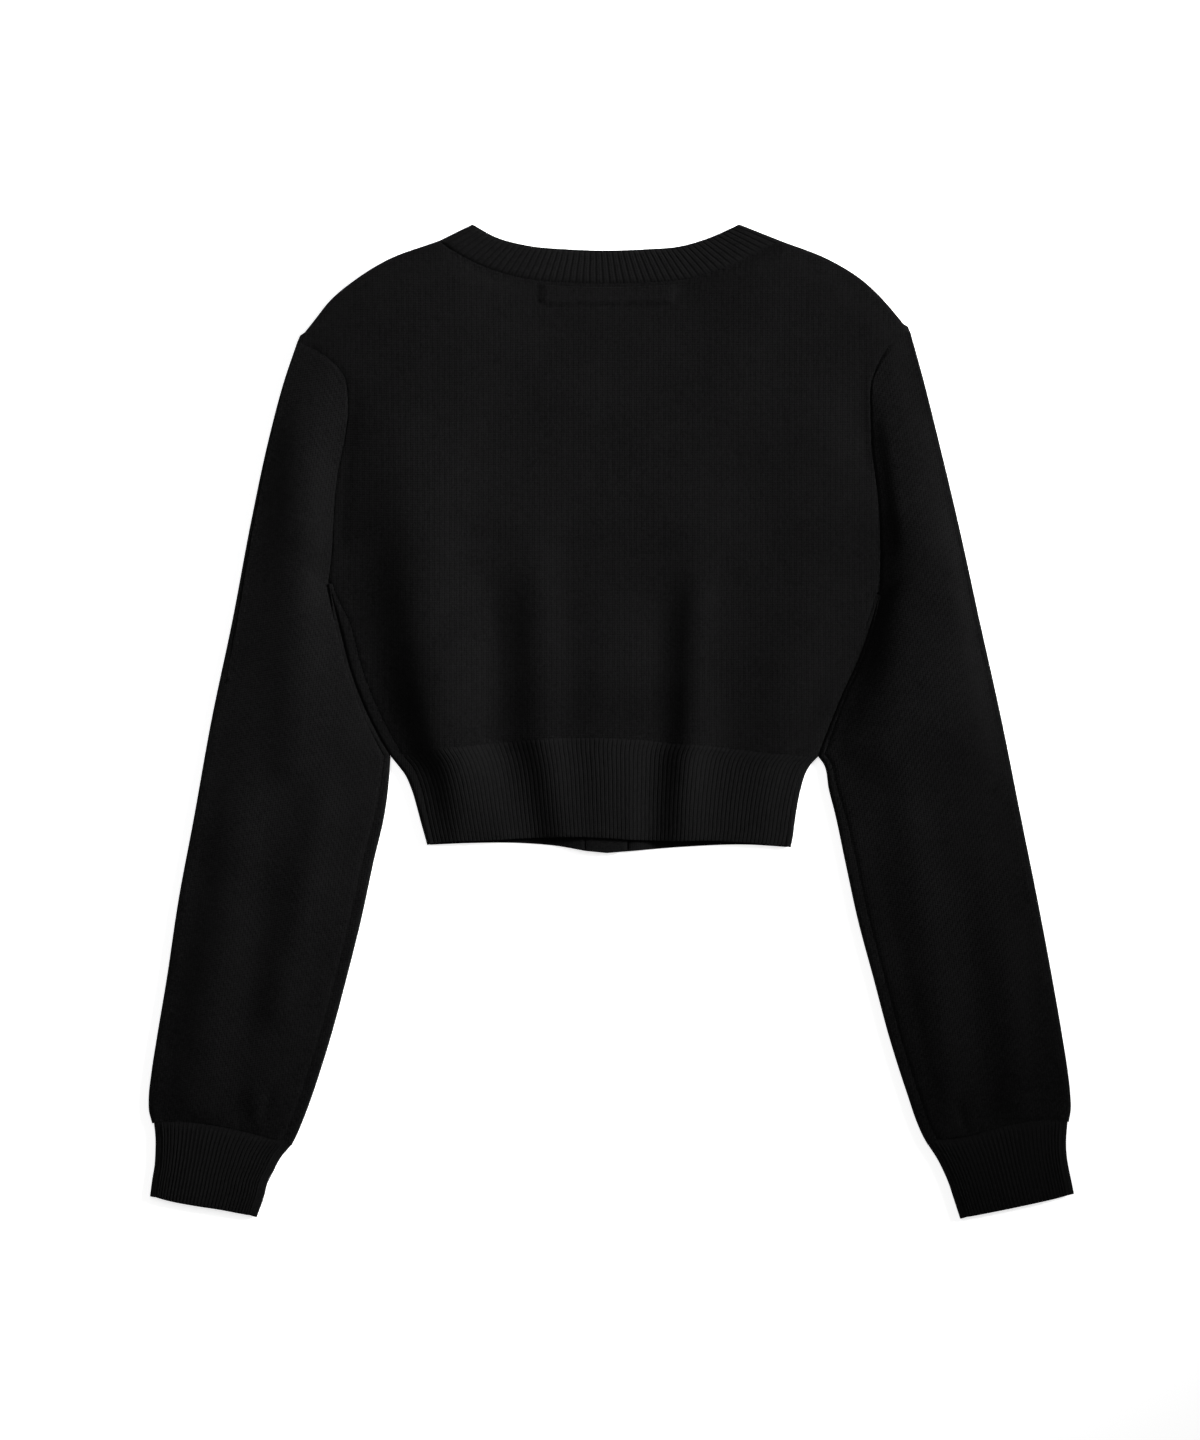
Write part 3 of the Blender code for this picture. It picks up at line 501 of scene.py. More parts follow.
def flat_knit(plan: Grid, axis: tuple[float, float] = (0.0, 1.0)) -> Grid:
    """Knit coordinates in centimetres, with the wales running straight along this plan axis."""
    along = unit(np.array(axis, float))
    return np.stack([plan[..., :2] @ (along[1], -along[0]), plan[..., :2] @ along], axis=-1) / MM_PER_CM


def run_knit(across: Grid, run: Grid) -> Grid:
    """Knit coordinates in centimetres from the millimetres gone across the columns and down the rows."""
    return np.stack(np.broadcast_arrays(across[None], run[:, None]), axis=-1) / MM_PER_CM


def cloth_mesh(name: str, grids: list[Grid], knit: Grid, closed: bool = False) -> bpy.types.Mesh:
    """A thin closed wall between an outer and an inner grid of points.

    Args:
        name: The mesh's name.
        grids: The outer and the inner face's points in millimetres, rows by columns.
        knit: The knit's coordinates in centimetres, with one more column where the wall is closed.
        closed: Whether the last column joins the first.

    Returns:
        The mesh, in metres.
    """
    rows, columns = grids[0].shape[:2]
    under = rows * columns
    index = np.arange(under).reshape(rows, columns)
    wide = np.concatenate([index, index[:, :1]], axis=1) if closed else index

    def corners(grid: Grid) -> Grid:
        """The four corners of each square of a grid."""
        return np.stack([grid[:-1, :-1], grid[:-1, 1:], grid[1:, 1:], grid[1:, :-1]], axis=2)

    squares = corners(wide).reshape(-1, 4)
    marks = corners(knit).reshape(-1, 4, 2)
    faces = [squares, squares[:, ::-1] + under]
    coordinates = [marks, marks[:, ::-1]]
    borders = [(wide[0], knit[0]), (wide[-1][::-1], knit[-1][::-1])]
    if not closed:
        borders += [(wide[::-1, 0], knit[::-1, 0]), (wide[:, -1], knit[:, -1])]
    for line, mark in borders:
        faces.append(np.stack([line[1:], line[:-1], line[:-1] + under, line[1:] + under], axis=-1))
        coordinates.append(np.stack([mark[1:], mark[:-1], mark[:-1], mark[1:]], axis=-2))
    mesh = bpy.data.meshes.new(name)
    points = np.concatenate([grid.reshape(-1, 3) for grid in grids]) * MM
    mesh.from_pydata(points.tolist(), [], np.concatenate(faces).tolist())
    mesh.uv_layers.new(name="knit").data.foreach_set("uv", np.concatenate(coordinates).ravel())
    work = bmesh.new()
    work.from_mesh(mesh)
    bmesh.ops.recalc_face_normals(work, faces=work.faces[:])
    work.to_mesh(mesh)
    work.free()
    mesh.shade_smooth()
    mesh.set_sharp_from_angle(angle=math.radians(70))
    return mesh


def place(
    mesh: bpy.types.Mesh, node: str, ending: str, finish: bpy.types.Material, slot: str
) -> bpy.types.Object:
    """Puts a mesh in the scene in place of its solid.

    Args:
        mesh: The finished mesh.
        node: The solid's name.
        ending: What the new object's name adds to it.
        finish: The material.
        slot: Not used.

    Returns:
        The new object.
    """
    made = bpy.data.objects.new(node + ending, mesh)
    bpy.context.scene.collection.objects.link(made)
    mesh.materials.append(finish)
    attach(made, "root")
    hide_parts(node)
    return made


@dataclass
class Half:
    """The outlines and sizes of one half of the garment, with the fine lines that its pieces share."""

    name: str
    side_line: Table
    armhole_line: Table
    shoulder_line: Table
    strip_width: float
    join_into: Grid
    armhole_heights: Table
    placket_x: float
    placket_z: float
    neck_line: Table
    neck_top: Table
    join_line: Table
    hem_line: Table
    rib_edge: Table
    sleeve_outer: Table
    sleeve_inner: Table
    sleeve_crown: float
    sleeve_rounding: Reaches
    sleeve_folds: list[Fold]
    sleeve_creases: list[Fold]
    cuff_outer: Table
    cuff_inner: Table
    cuff_edge: Table
    cuff_join: Table
    rib_heights: tuple[float, float] = (7.6, 6.4)
    side_steps: int = 48
    arm_steps: int = 56
    cap_steps: int = 18
    cap_share: float = 0.77
    edge: Grid = field(init=False)
    into: Grid = field(init=False)
    radius: Grid = field(init=False)
    seam: Grid = field(init=False)
    seam_height: Grid = field(init=False)
    tip: Grid = field(init=False)

    def __post_init__(self) -> None:
        """Works out the side edge, its side seam and the armhole from the outline tables."""
        side = smooth_line(self.side_line, even(self.side_steps))
        arm_length = run_along(smooth_line(self.armhole_line, even(200)))[-1]
        last = 1 - SIZES.fold_round / arm_length
        arm_shares = np.linspace(0, self.cap_share, self.arm_steps + 1)
        arm_shares = np.concatenate([arm_shares, np.linspace(self.cap_share, last, self.cap_steps + 1)[1:]])
        armhole = smooth_line(self.armhole_line, arm_shares)
        self.tip = np.array(self.armhole_line[-1], float)
        self.edge = np.concatenate([side, armhole[1:]])
        run = run_along(self.edge)
        turn = ease(run / SIZES.underarm_reach)[:, None]
        self.into = unit(blend(self.join_into, inward(self.edge, (0, 60)), turn))
        near = ease((run[self.side_steps] - run) / SIZES.underarm_reach)
        self.radius = blend(SIZES.underarm_round, SIZES.fold_round, near)
        strip = blend(SIZES.underarm_strip, self.strip_width, near)
        strip[self.side_steps + 1 :] = 0
        self.seam = self.edge + self.into * strip[:, None]
        low = SIZES.fold_height + near[: self.side_steps]
        self.seam_height = np.concatenate([low, heights(self.armhole_heights, arm_shares)])

    def rib_side(self, v: Grid) -> tuple[Grid, Grid, Grid]:
        """The side of the hem band.

        Args:
            v: Shares from the join down to the hem.

        Returns:
            Its outline, the way into the cloth and the side seam, at these shares.
        """
        edge = smooth_line(self.rib_edge[::-1], v)
        into = unit(blend(self.join_into, inward(edge, (0, edge[:, 1].mean())), ease(v / 0.3)[:, None]))
        seam = edge + into * blend(self.strip_width, SIZES.hem_strip, v)[:, None]
        seam[0] = self.seam[0]
        return edge, into, seam

    def rise(self, plan: Grid) -> Grid:
        """How far the underside of a front piece is lifted by the buttons and bands beside it."""
        return self.placket_z * ease(1 - np.abs(plan[..., 0] - self.placket_x) / SIZES.placket_rise)


@dataclass
class Body:
    """The outlines, heights and folds that the back, its hem band and the neckband share."""

    neck: Table
    neck_top: Table
    join: Table
    hem: Table
    join_heights: Table
    hem_heights: Table
    neck_heights: Table
    folds: list[Fold]
    creases: list[Fold]
    label_mark: Plateau
    left: Half
    right: Half
    join_rounding: float = 14.0

    def join_line(self, shares: Grid) -> Grid:
        """The line where the back meets its hem band, from side seam to side seam."""
        return smooth_line([self.left.seam[0], *self.join[1:-1], self.right.seam[0]], shares)

    def join_top(self, line: Grid, shares: Grid) -> Grid:
        """The height of the upper layer along the join.

        Args:
            line: Plan points of the join.
            shares: Their shares of its length.

        Returns:
            The height at each point.
        """
        start, end = (
            rounding(distance_in(line, border), self.join_rounding)
            for border in (Border.FIRST_ROW, Border.LAST_ROW)
        )
        return heights(self.join_heights, shares) + fold_relief(line, self.folds) * start * end


@dataclass
class Piece:
    """One knit piece: how it is named, dressed and laid, and the outlines that it is made on."""

    node: str
    finish: str
    flat: tuple[float, float]
    cut_area: float
    rests_on: tuple[str, ...] = ()
    half: Half | None = None
    body: Body | None = None

    def sew(self, grids: list[Grid], knit: Grid | None = None, closed: bool = False) -> bpy.types.Mesh:
        """The cloth of an outer and an inner grid; without knit coordinates its wales are straight."""
        return cloth_mesh(self.node, grids, flat_knit(grids[0]) if knit is None else knit, closed)

    def build(self) -> bpy.types.Mesh:
        """Makes the piece's cloth, each kind of piece in its own way."""
        raise NotImplementedError

    def dress(self, finishes: dict[str, bpy.types.Material]) -> bpy.types.Object:
        """Puts the piece in the scene in place of its solid.

        Args:
            finishes: The knit finishes by name.

        Returns:
            The new object.
        """
        made = place(self.build(), self.node, "_knit", finishes[self.finish], self.finish)
        return made


@dataclass
class Back(Piece):
    """The back: armhole to armhole, and from the hem band to the shoulders and neck."""

    crown: float = 5.0
    rounding: Reaches = (26, 26, 0, 40)
    join_reach: float = 45.0
    fold_rounding: Reaches = (14, 14, 0, 30)
    crease_rounding: Reaches = (6, 6, 6, 10)
    gather: float = 0.22
    ribs: int = 90
    shoulder_share: float = 7 / 34
    neck_steps: int = 88
    rim_steps: int = 6
    tuck: float = 0.8
    hem_tuck: float = 0.2
    wave: float = 0.35
    smooth_from: float = 0.3
    corner_steps: int = 5
    smoothing: int = 60

    def across(self) -> tuple[Grid, Grid, Grid]:
        """The stations across.

        Returns:
            Their shares, the top border's points and which of them lie on the neck.
        """
        b = self.body
        side = graded(350 * self.shoulder_share, SIZES.step, True, False)
        lines = [smooth_line(half.shoulder_line, side) for half in (b.left, b.right)]
        top = np.concatenate([lines[0][:-1], smooth_line(b.neck, even(self.neck_steps)), lines[1][::-1][1:]])
        side = side * self.shoulder_share
        middle = self.shoulder_share + (1 - 2 * self.shoulder_share) * even(self.neck_steps)
        u = np.concatenate([side[:-1], middle, (1 - side[::-1])[1:]])
        index = np.arange(len(u))
        return u, top, (index >= len(side)) & (index < len(u) - len(side))

    def surface(self, u: Grid, inset: Grid, top_height: Grid) -> tuple[Grid, Grid]:
        """The outer face up to the shoulders' and the neck's rounded edge.

        Args:
            u: The stations across.
            inset: Plan points of its top border.
            top_height: That border's heights.

        Returns:
            Plan points and heights.
        """
        b = self.body
        bottom = b.join_line(u)
        v = run_along(b.left.edge)
        v = v / v[-1]
        plan = fill(bottom, inset, b.left.seam, b.right.seam, u, v, 2.0)
        near_top = ease((v - self.smooth_from) / 0.25)[:, None]
        evened = near_top * crown_over(plan, (12, 12, 0, 6))
        parts = np.moveaxis(plan, -1, 0)
        plan = np.stack([blend(part, smoothed(part, self.smoothing), evened) for part in parts], -1)
        z = fill(heights(b.join_heights, u), top_height, b.left.seam_height, b.right.seam_height, u, v)
        from_join = distance_in(plan, Border.FIRST_ROW)
        z = z + self.crown * crown_over(plan, self.rounding) * ease(from_join / self.join_reach)
        z = z + fold_relief(plan, b.folds) * crown_over(plan, self.fold_rounding)
        z = z + fold_relief(plan, b.creases) * crown_over(plan, self.crease_rounding)
        z = z + waviness(plan, self.wave)
        z = blend(z, smoothed(z, self.smoothing), near_top * crown_over(plan, (12, 12, 0, 1.5)))
        z = z + b.label_mark.relief(plan)
        z[0] = b.join_top(bottom, u)
        hem = seam_tuck(from_join, self.hem_tuck) + gathers(u, self.ribs, self.gather, from_join)
        return plan, z + seam_tuck(from_sides(plan), self.tuck) + hem * crown_over(plan, (3, 3, 0, 0))

    def build(self) -> bpy.types.Mesh:
        """Makes the back's cloth.

        Returns:
            The mesh.
        """
        b = self.body
        u, top, at_neck = self.across()
        ends = np.array([b.left.edge[-1], b.right.edge[-1]])
        into = unit(smoothed(inward(top, (0, 200)).T, 30).T)
        into[[0, -1]] = unit(ends - top[[0, -1]])
        inset = top + into * SIZES.fold_round
        inset[[0, -1]] = ends
        neck_share = np.clip((u - self.shoulder_share) / (1 - 2 * self.shoulder_share), 0, 1)
        top_height = np.where(at_neck, heights(b.neck_heights, neck_share), SIZES.fold_height)
        plan, z = self.surface(u, inset, top_height)
        first, last = np.flatnonzero(at_neck)[[0, -1]]
        index = np.arange(len(u))
        turned = ease(np.minimum(index - first + 1, last + 1 - index) / self.corner_steps)[:, None, None]
        gone = even(self.rim_steps)
        dip = seam_tuck((1 - gone) * SIZES.fold_round, self.tuck)
        shares = Facing.UPPER.shares(self.rim_steps, SIZES.seam_gap / SIZES.fold_height)
        grids = []
        for depth in (0, SIZES.jersey):
            level = with_height(straight_rim(top, into, gone), top_height[:, None] - depth + dip)
            rim = blend(curl(top, into, shares, depth), level, turned)[:, 1:]
            grids.append(np.concatenate([with_height(plan, z - depth), np.swapaxes(rim, 0, 1)]))
            grids[-1][0, :, 1] += SIZES.seam_gap / 2
        return self.sew(grids)


@dataclass
class Front(Piece):
    """One front: from its button band to the side seam, which lies a little way round on the back."""

    neck_steps: int = 26
    shoulder_steps: int = 14
    rim_steps: int = 4
    tuck: float = 0.8

    def build(self) -> bpy.types.Mesh:
        """Makes the front's cloth.

        Returns:
            The mesh.
        """
        h = self.half
        u = even(self.neck_steps + self.shoulder_steps)
        v = run_along(h.edge)
        v = v / v[-1]
        flat_edge = h.edge + h.into * SIZES.flat_inset
        beyond = h.tip - h.edge[-1]
        neck = smooth_line(h.neck_line, even(self.neck_steps))[:-1]
        top = np.concatenate([neck, smooth_line(h.shoulder_line[::-1], even(self.shoulder_steps))])
        top[-1] = flat_edge[-1] + beyond
        into_top = inward(top, (h.placket_x * 4, 150))
        into_top[-1] = unit(-beyond)
        inset = top + into_top * SIZES.fold_round
        inset[-1] = flat_edge[-1]
        bottom = smooth_line(h.join_line, u)
        bottom[-1] = flat_edge[0]
        plan = fill(bottom, inset, blend(bottom[0], inset[0], v[:, None]), flat_edge, u, v, 3.0)
        closed = np.arange(len(h.edge)) <= h.side_steps
        seam = h.seam - h.into * SIZES.seam_gap * closed[:, None]
        shares = Facing.LOWER.shares(self.rim_steps, -SIZES.seam_gap / SIZES.fold_height)
        grids = []
        for depth in (0, SIZES.jersey):
            turn = wrapped(h.edge, h.into, h.radius, seam, h.seam_height - self.tuck, closed, depth)
            grid = np.concatenate([with_height(plan, h.rise(plan) + depth), turn], axis=1)
            outline = np.concatenate([top, turn[-1, :, :2] + beyond])
            into = np.concatenate([into_top, np.broadcast_to(unit(-beyond), (turn.shape[1], 2))])
            straight = straight_rim(outline, into, even(self.rim_steps))
            on_shoulder = (np.arange(len(outline)) >= self.neck_steps)[:, None, None]
            level_rim = with_height(straight, h.rise(straight) + depth)
            rim = np.where(on_shoulder, curl(outline, into, shares, depth), level_rim)[:, 1:]
            grids.append(np.concatenate([grid, np.swapaxes(rim, 0, 1)]))
            grids[-1][0, :, 1] += SIZES.seam_gap / 2
        reach = np.full(len(grids[0]), 0.1)
        reach[: h.side_steps + 1] = SIZES.allowance
        return self.sew(seam_allowance(grids, Border.LAST_COLUMN, reach))


@dataclass
class Sleeve(Piece):
    """One sleeve: a sheet folded at its outer edge, with the underarm seam just inside its inner edge."""

    lift: float = 0.6
    end_lift: float = 1.5
    strip_reach: float = 140.0
    fold_rounding: Reaches = (8, 8, 20, 8)
    crease_rounding: Reaches = (5, 5, 6, 4)
    free_length: float = 280.0
    free_steps: int = 118
    under_steps: int = 12
    tuck: float = 1.3
    cuff_tuck: float = 0.5
    gather: float = 0.2
    ribs: int = 30
    wave: float = 0.4
    end_reach: float = 0.3
    corner_reach: float = 0.8

    def surface(self, plan: Grid, border: Grid, u: Grid) -> Grid:
        """The heights of the outer face, with its crown, folds, gathers and sunk seams.

        Args:
            plan: Plan points.
            border: The heights that its borders alone give.
            u: Shares across.

        Returns:
            A height for each point.
        """
        h = self.half
        z = border + h.sleeve_crown * crown_over(plan, h.sleeve_rounding)
        z = z + fold_relief(plan, h.sleeve_folds) * crown_over(plan, self.fold_rounding)
        z = z + fold_relief(plan, h.sleeve_creases) * crown_over(plan, self.crease_rounding)
        from_seam, from_cap, from_cuff = (
            distance_in(plan, border) for border in (Border.LAST_COLUMN, Border.FIRST_ROW, Border.LAST_ROW)
        )
        z = z + waviness(plan, self.wave) + seam_tuck(np.minimum(from_seam, from_cap), self.tuck)
        return z + seam_tuck(from_cuff, self.cuff_tuck) + gathers(u, self.ribs, self.gather, from_cuff)

    def build(self) -> bpy.types.Mesh:
        """Makes the sleeve's cloth.

        Returns:
            The mesh.
        """
        h = self.half
        count = h.arm_steps
        armhole = np.concatenate([h.edge[h.side_steps :] - h.into[h.side_steps :] * SIZES.seam_gap, [h.tip]])
        arm_height = np.concatenate([h.seam_height[h.side_steps :], [SIZES.fold_height]])
        cap = np.column_stack([armhole, arm_height])[count:]
        u = graded(100.0, SIZES.step, False, True)
        cap_line = along_polyline(cap[::-1], u)
        beside = h.edge[h.side_steps :: -1] + h.into[h.side_steps :: -1] * SIZES.side_overlap
        free = graded(self.free_length, self.free_length / self.free_steps, False, True)
        inner_edge = np.concatenate([armhole[count:0:-1], beside[:-1], smooth_line(h.sleeve_inner, free)])
        run = run_along(inner_edge)
        v = run / run[-1]
        outer_edge = smooth_line(h.sleeve_outer, v)
        closed = np.arange(len(run)) >= count
        near = ease((run - run[count]) / SIZES.underarm_reach)
        middle = (outer_edge + inner_edge) / 2
        into_inner = inward(inner_edge, middle)
        into_outer = inward(outer_edge, middle)
        into_outer[0] = unit(cap_line[4, :2] - cap_line[0, :2])
        radius = blend(SIZES.underarm_round, SIZES.fold_round, near)
        past_body = ease((run - run[count + h.side_steps // 2]) / self.strip_reach)
        strip = blend(SIZES.underarm_strip, SIZES.sleeve_strip, past_body) * closed
        seam = inner_edge + into_inner * strip[:, None]
        far_seam = seam - into_inner * SIZES.seam_gap * closed[:, None]
        seam_height = np.concatenate([arm_height[count:0:-1], SIZES.fold_height + near[count:]])
        outer_flat = outer_edge + into_outer * SIZES.flat_inset
        cuff = smooth_line(h.cuff_join, u)
        shoulder_row = cap_line[:, :2].copy()
        shoulder_row[0] = outer_flat[0]
        plan = fill(shoulder_row, cuff, outer_flat, seam, u, v)
        plan[-1, 0] = outer_flat[-1]
        cuff_height, outer_height = np.ones(len(u)) * self.end_lift, np.ones(len(v)) * self.lift
        cuff_level, outer_level = SIZES.fold_height + cuff_height, SIZES.fold_height + outer_height
        z = self.surface(plan, fill(cap_line[:, 2], cuff_level, outer_level, seam_height, u, v), u)
        under_u = even(self.under_steps)
        under_rows = [along_polyline(row, under_u) for row in (shoulder_row, cuff)]
        under = fill(*under_rows, outer_flat, inner_edge + into_inner * SIZES.flat_inset, under_u, v)
        shares = Facing.WHOLE.shares(SIZES.fold_steps)[::-1]
        grids = []
        for depth in (0, SIZES.jersey):
            upper = with_height(plan, z - depth)[:, ::-1]
            turn = curl(outer_edge, into_outer, shares, depth)
            last = wrapped(inner_edge, into_inner, radius, far_seam, seam_height - self.tuck, closed, depth)
            grids.append(np.concatenate([upper, turn, with_height(under, depth), last], axis=1))
            grids[-1][-1, :, 1] += SIZES.seam_gap / 2
        reach = np.full(grids[0].shape[1], self.end_reach)
        reach[: len(u)] = SIZES.allowance
        reach[len(u) - 2 : len(u) + 2] = self.corner_reach
        grids = seam_allowance(seam_allowance(grids, Border.FIRST_ROW, reach), Border.FIRST_COLUMN)
        axis = (outer_edge[0] + inner_edge[count]) / 2 - (cuff[0] + cuff[-1]) / 2
        return self.sew(grids, flat_knit(grids[0], tuple(axis)))


@dataclass
class BackHem(Piece):
    """The back hem band, with ribs along its height."""

    ribs: int = 90
    pitch: float = 2.7
    relief: float = 0.5
    tuck: float = 0.5

    def build(self) -> bpy.types.Mesh:
        """Makes the back hem band's cloth.

        Returns:
            The mesh.
        """
        b = self.body
        u = even(self.ribs * SIZES.per_rib)
        v = graded(SIZES.hem_depth, SIZES.rib_step, True, True)
        run = v * SIZES.hem_depth
        left, right = (half.rib_side(v)[2] for half in (b.left, b.right))
        first = b.join_line(u)
        plan = fill(first, smooth_line([left[-1], *b.hem[1:-1], right[-1]], u), left, right, u, v)
        plan[0, :, 1] -= SIZES.seam_gap / 2
        z = blend(b.join_top(first, u)[None], heights(b.hem_heights, u)[None], v[:, None])
        z = z + seam_tuck(run, self.tuck)[:, None] + seam_tuck(from_sides(plan), self.tuck)
        end = soft_end(SIZES.hem_depth - run)[:, None]
        outer = with_height(plan, z + ribs_on(run, len(u), self.relief) + end)
        grids = seam_allowance([outer, with_height(plan, z - SIZES.rib_base)], Border.FIRST_ROW)
        across = np.arange(len(u)) * self.pitch / SIZES.per_rib
        return self.sew(grids, run_knit(across, np.append(-SIZES.allowance, run)))


@dataclass
class FrontHem(Piece):
    """One front hem band, which turns up at the side to meet the back band."""

    across_steps: int = 60
    groove: float = 1.1
    groove_width: float = 1.2

    def build(self) -> bpy.types.Mesh:
        """Makes the front hem band's cloth.

        Returns:
            The mesh.
        """
        h = self.half
        u = even(self.across_steps)
        v = graded(SIZES.hem_depth, SIZES.rib_step, True, True)
        edge, into, seam = h.rib_side(v)
        far_seam = seam - into * SIZES.seam_gap
        flat_edge = edge + into * SIZES.flat_inset
        first = smooth_line(h.join_line, u)
        last = smooth_line(h.hem_line, u)
        first[-1], last[-1] = flat_edge[0], flat_edge[-1]
        plan = fill(first, last, blend(first[0], last[0], v[:, None]), flat_edge, u, v)
        groove = self.groove * np.exp(-((distance_in(plan, Border.FIRST_COLUMN) / self.groove_width) ** 2))
        radius = np.full(len(v), SIZES.fold_round)
        seam_height = blend(*h.rib_heights, v)
        grids = []
        for depth, share in ((0, 0), (SIZES.rib_base, 1)):
            turn = wrapped(edge, into, radius, far_seam, seam_height, np.full(len(v), True), depth)
            level = with_height(plan, h.rise(plan) + depth - groove * share)
            grids.append(np.concatenate([level, turn], axis=1))
            grids[-1][0, :, 1] -= SIZES.seam_gap / 2
        return self.sew(seam_allowance(seam_allowance(grids, Border.FIRST_ROW), Border.LAST_COLUMN))


@dataclass
class Cuff(Piece):
    """One cuff: a ribbed ring whose underside is plain, where it rests."""

    ribs: int = 30
    height: float = 48.0
    relief: float = 0.7
    crown: float = 1.2
    lift: float = 0.3
    taper: float = 0.6
    tuck: float = 0.4
    under_steps: int = 30
    near: float = 8.0

    def plan(self, u: Grid, v: Grid, left: Grid, right: Grid) -> Grid:
        """Plan points of one layer.

        Args:
            u: Shares across.
            v: Shares along.
            left: The flat border just inside the outer edge.
            right: The flat border just inside the inner edge.

        Returns:
            A grid of points, v by u.
        """
        rows = []
        for line, end in ((self.half.cuff_join, 0), (self.half.cuff_edge, -1)):
            row = smooth_line(line, u)
            row = row + (left[end] - row[0]) * (1 - u)[:, None] ** self.near
            rows.append(row + (right[end] - row[-1]) * u[:, None] ** self.near)
        return fill(*rows, left, right, u, v)

    def build(self) -> bpy.types.Mesh:
        """Makes the cuff's cloth.

        Returns:
            The mesh.
        """
        v = graded(self.height, SIZES.step, True, True)
        run = v * self.height
        edges = [smooth_line(line, v) for line in (self.half.cuff_outer, self.half.cuff_inner)]
        for edge in edges:
            edge[0, 1] -= SIZES.seam_gap / 2
        intos = [inward(edge, (edges[0] + edges[1]) / 2) for edge in edges]
        flats = [edge + into * SIZES.flat_inset for edge, into in zip(edges, intos)]
        height = SIZES.fold_height - self.taper * v
        u = even(self.ribs * SIZES.per_rib)
        upper_plan = self.plan(u, v, *flats)
        under_plan = self.plan(even(self.under_steps), v, *flats)
        z = (height + self.lift)[:, None] + self.crown * np.sin(np.pi * u) ** 0.7
        ends = seam_tuck(run, self.tuck) + soft_end(self.height - run)
        relief = ribs_on(run, len(u), self.relief) + ends[:, None]
        shares = Facing.WHOLE.shares(SIZES.fold_steps)
        grids = []
        for depth, level in ((0, z + relief), (SIZES.rib_base, z - SIZES.rib_base)):
            first = curl(edges[0], intos[0], shares[::-1], depth, height)
            second = curl(edges[1], intos[1], shares, depth, height)
            upper = with_height(upper_plan, level)[:, ::-1]
            grids.append(np.concatenate([upper, first, with_height(under_plan, depth), second], axis=1))
        grids = seam_allowance(grids, Border.FIRST_ROW)
        run = np.append(-SIZES.allowance, run)
        ring = np.concatenate([grids[0], grids[0][:, :1]], axis=1)
        return self.sew(grids, run_knit(run_along(ring[len(run) // 2]), run), True)


@dataclass
class Neckband(Piece):
    """The neckband: one ribbed strip from the button band round the back to the buttonhole band."""

    ribs: int = 52
    pitch: float = 4.4
    knit_pitch: float = 2.7
    width: float = 22.0
    width_step: float = 2.0
    relief: float = 0.6
    bulge: float = 0.5
    tuck: float = 0.6
    free_height: float = 4.2
    front_steps: int = 40
    fold_steps: int = 5
    skip: int = 4

    def strip(self, seam_line: Table, free_line: Table, steps: int, across: Grid) -> Grid:
        """Plan points of one stretch of the band.

        Args:
            seam_line: The line where it is joined to the body.
            free_line: Its free edge.
            steps: Steps along it.
            across: Shares from the seam to the free edge.

        Returns:
            A grid of points, across by along.
        """
        seam, free = (smooth_line(line, even(steps)) for line in (seam_line, free_line))
        plan = blend(seam[None], free[None], across[:, None, None])
        plan[0] += SIZES.neck_gap * unit(free - seam)
        return plan

    def front(self, half: Half, across: Grid, beyond: Grid, depth: float) -> Grid:
        """One front stretch of the band, which turns up over the shoulder towards the back.

        Args:
            half: The half of the garment that it is on.
            across: Shares from the seam to the free edge.
            beyond: Points of the back stretch that it turns towards.
            depth: 0 for the outer face, or the cloth's thickness for the inner one.

        Returns:
            A grid of points, across by along.
        """
        plan = self.strip(half.neck_line, half.neck_top, self.front_steps, across)
        line = plan[:, -1]
        shares = Facing.WHOLE.shares(2 * self.fold_steps)
        turn = self.fold_steps + 1
        below = curl(line, unit(plan[:, -5] - line), shares[:turn], depth)
        above = curl(line, unit(beyond - line), shares[turn:], depth)
        return np.concatenate([with_height(plan, half.rise(plan) + depth)[:, :-2], below, above], axis=1)

    def build(self) -> bpy.types.Mesh:
        """Makes the neckband's cloth.

        Returns:
            The mesh.
        """
        b = self.body
        across = graded(self.width, self.width_step, True, True)
        run = across * self.width
        steps = self.ribs * SIZES.per_rib
        u = even(steps)
        back = self.strip(b.neck, b.neck_top, steps, across)
        free_z = blend(SIZES.fold_height, self.free_height, np.sin(np.pi * u) ** 0.6)
        z = blend(heights(b.neck_heights, u)[None], free_z[None], across[:, None])
        z = z + self.bulge * np.sin(np.pi * across)[:, None] * np.sin(np.pi * u)[None] ** 0.5
        ends = (seam_tuck(run, self.tuck) + soft_end(self.width - run, 0.9, 1.4))[:, None]
        relief = ribs_on(run, steps + 1, self.relief, 0.3, 3.0) + ends
        grids = []
        for depth, level in ((0, z + relief), (SIZES.band, z - SIZES.band)):
            left = self.front(b.left, across, back[:, 6], depth)
            right = self.front(b.right, across, back[:, -7], depth)[:, ::-1]
            upper = with_height(back, level)[:, self.skip : -self.skip]
            grids.append(np.concatenate([left, upper, right], axis=1))
        grids = seam_allowance(grids, Border.FIRST_ROW)
        run = np.append(-SIZES.allowance, run)
        along = run_along(grids[0][len(run) // 2]) / self.pitch
        first = left.shape[1]
        last = first + upper.shape[1] - 1
        rib = np.arange(self.skip, self.skip + upper.shape[1]) / SIZES.per_rib
        before = rib[0] + along[:first] - along[first]
        rib = np.concatenate([before, rib, rib[-1] + along[last + 1 :] - along[last]])
        return self.sew(grids, run_knit(rib * self.knit_pitch, run))


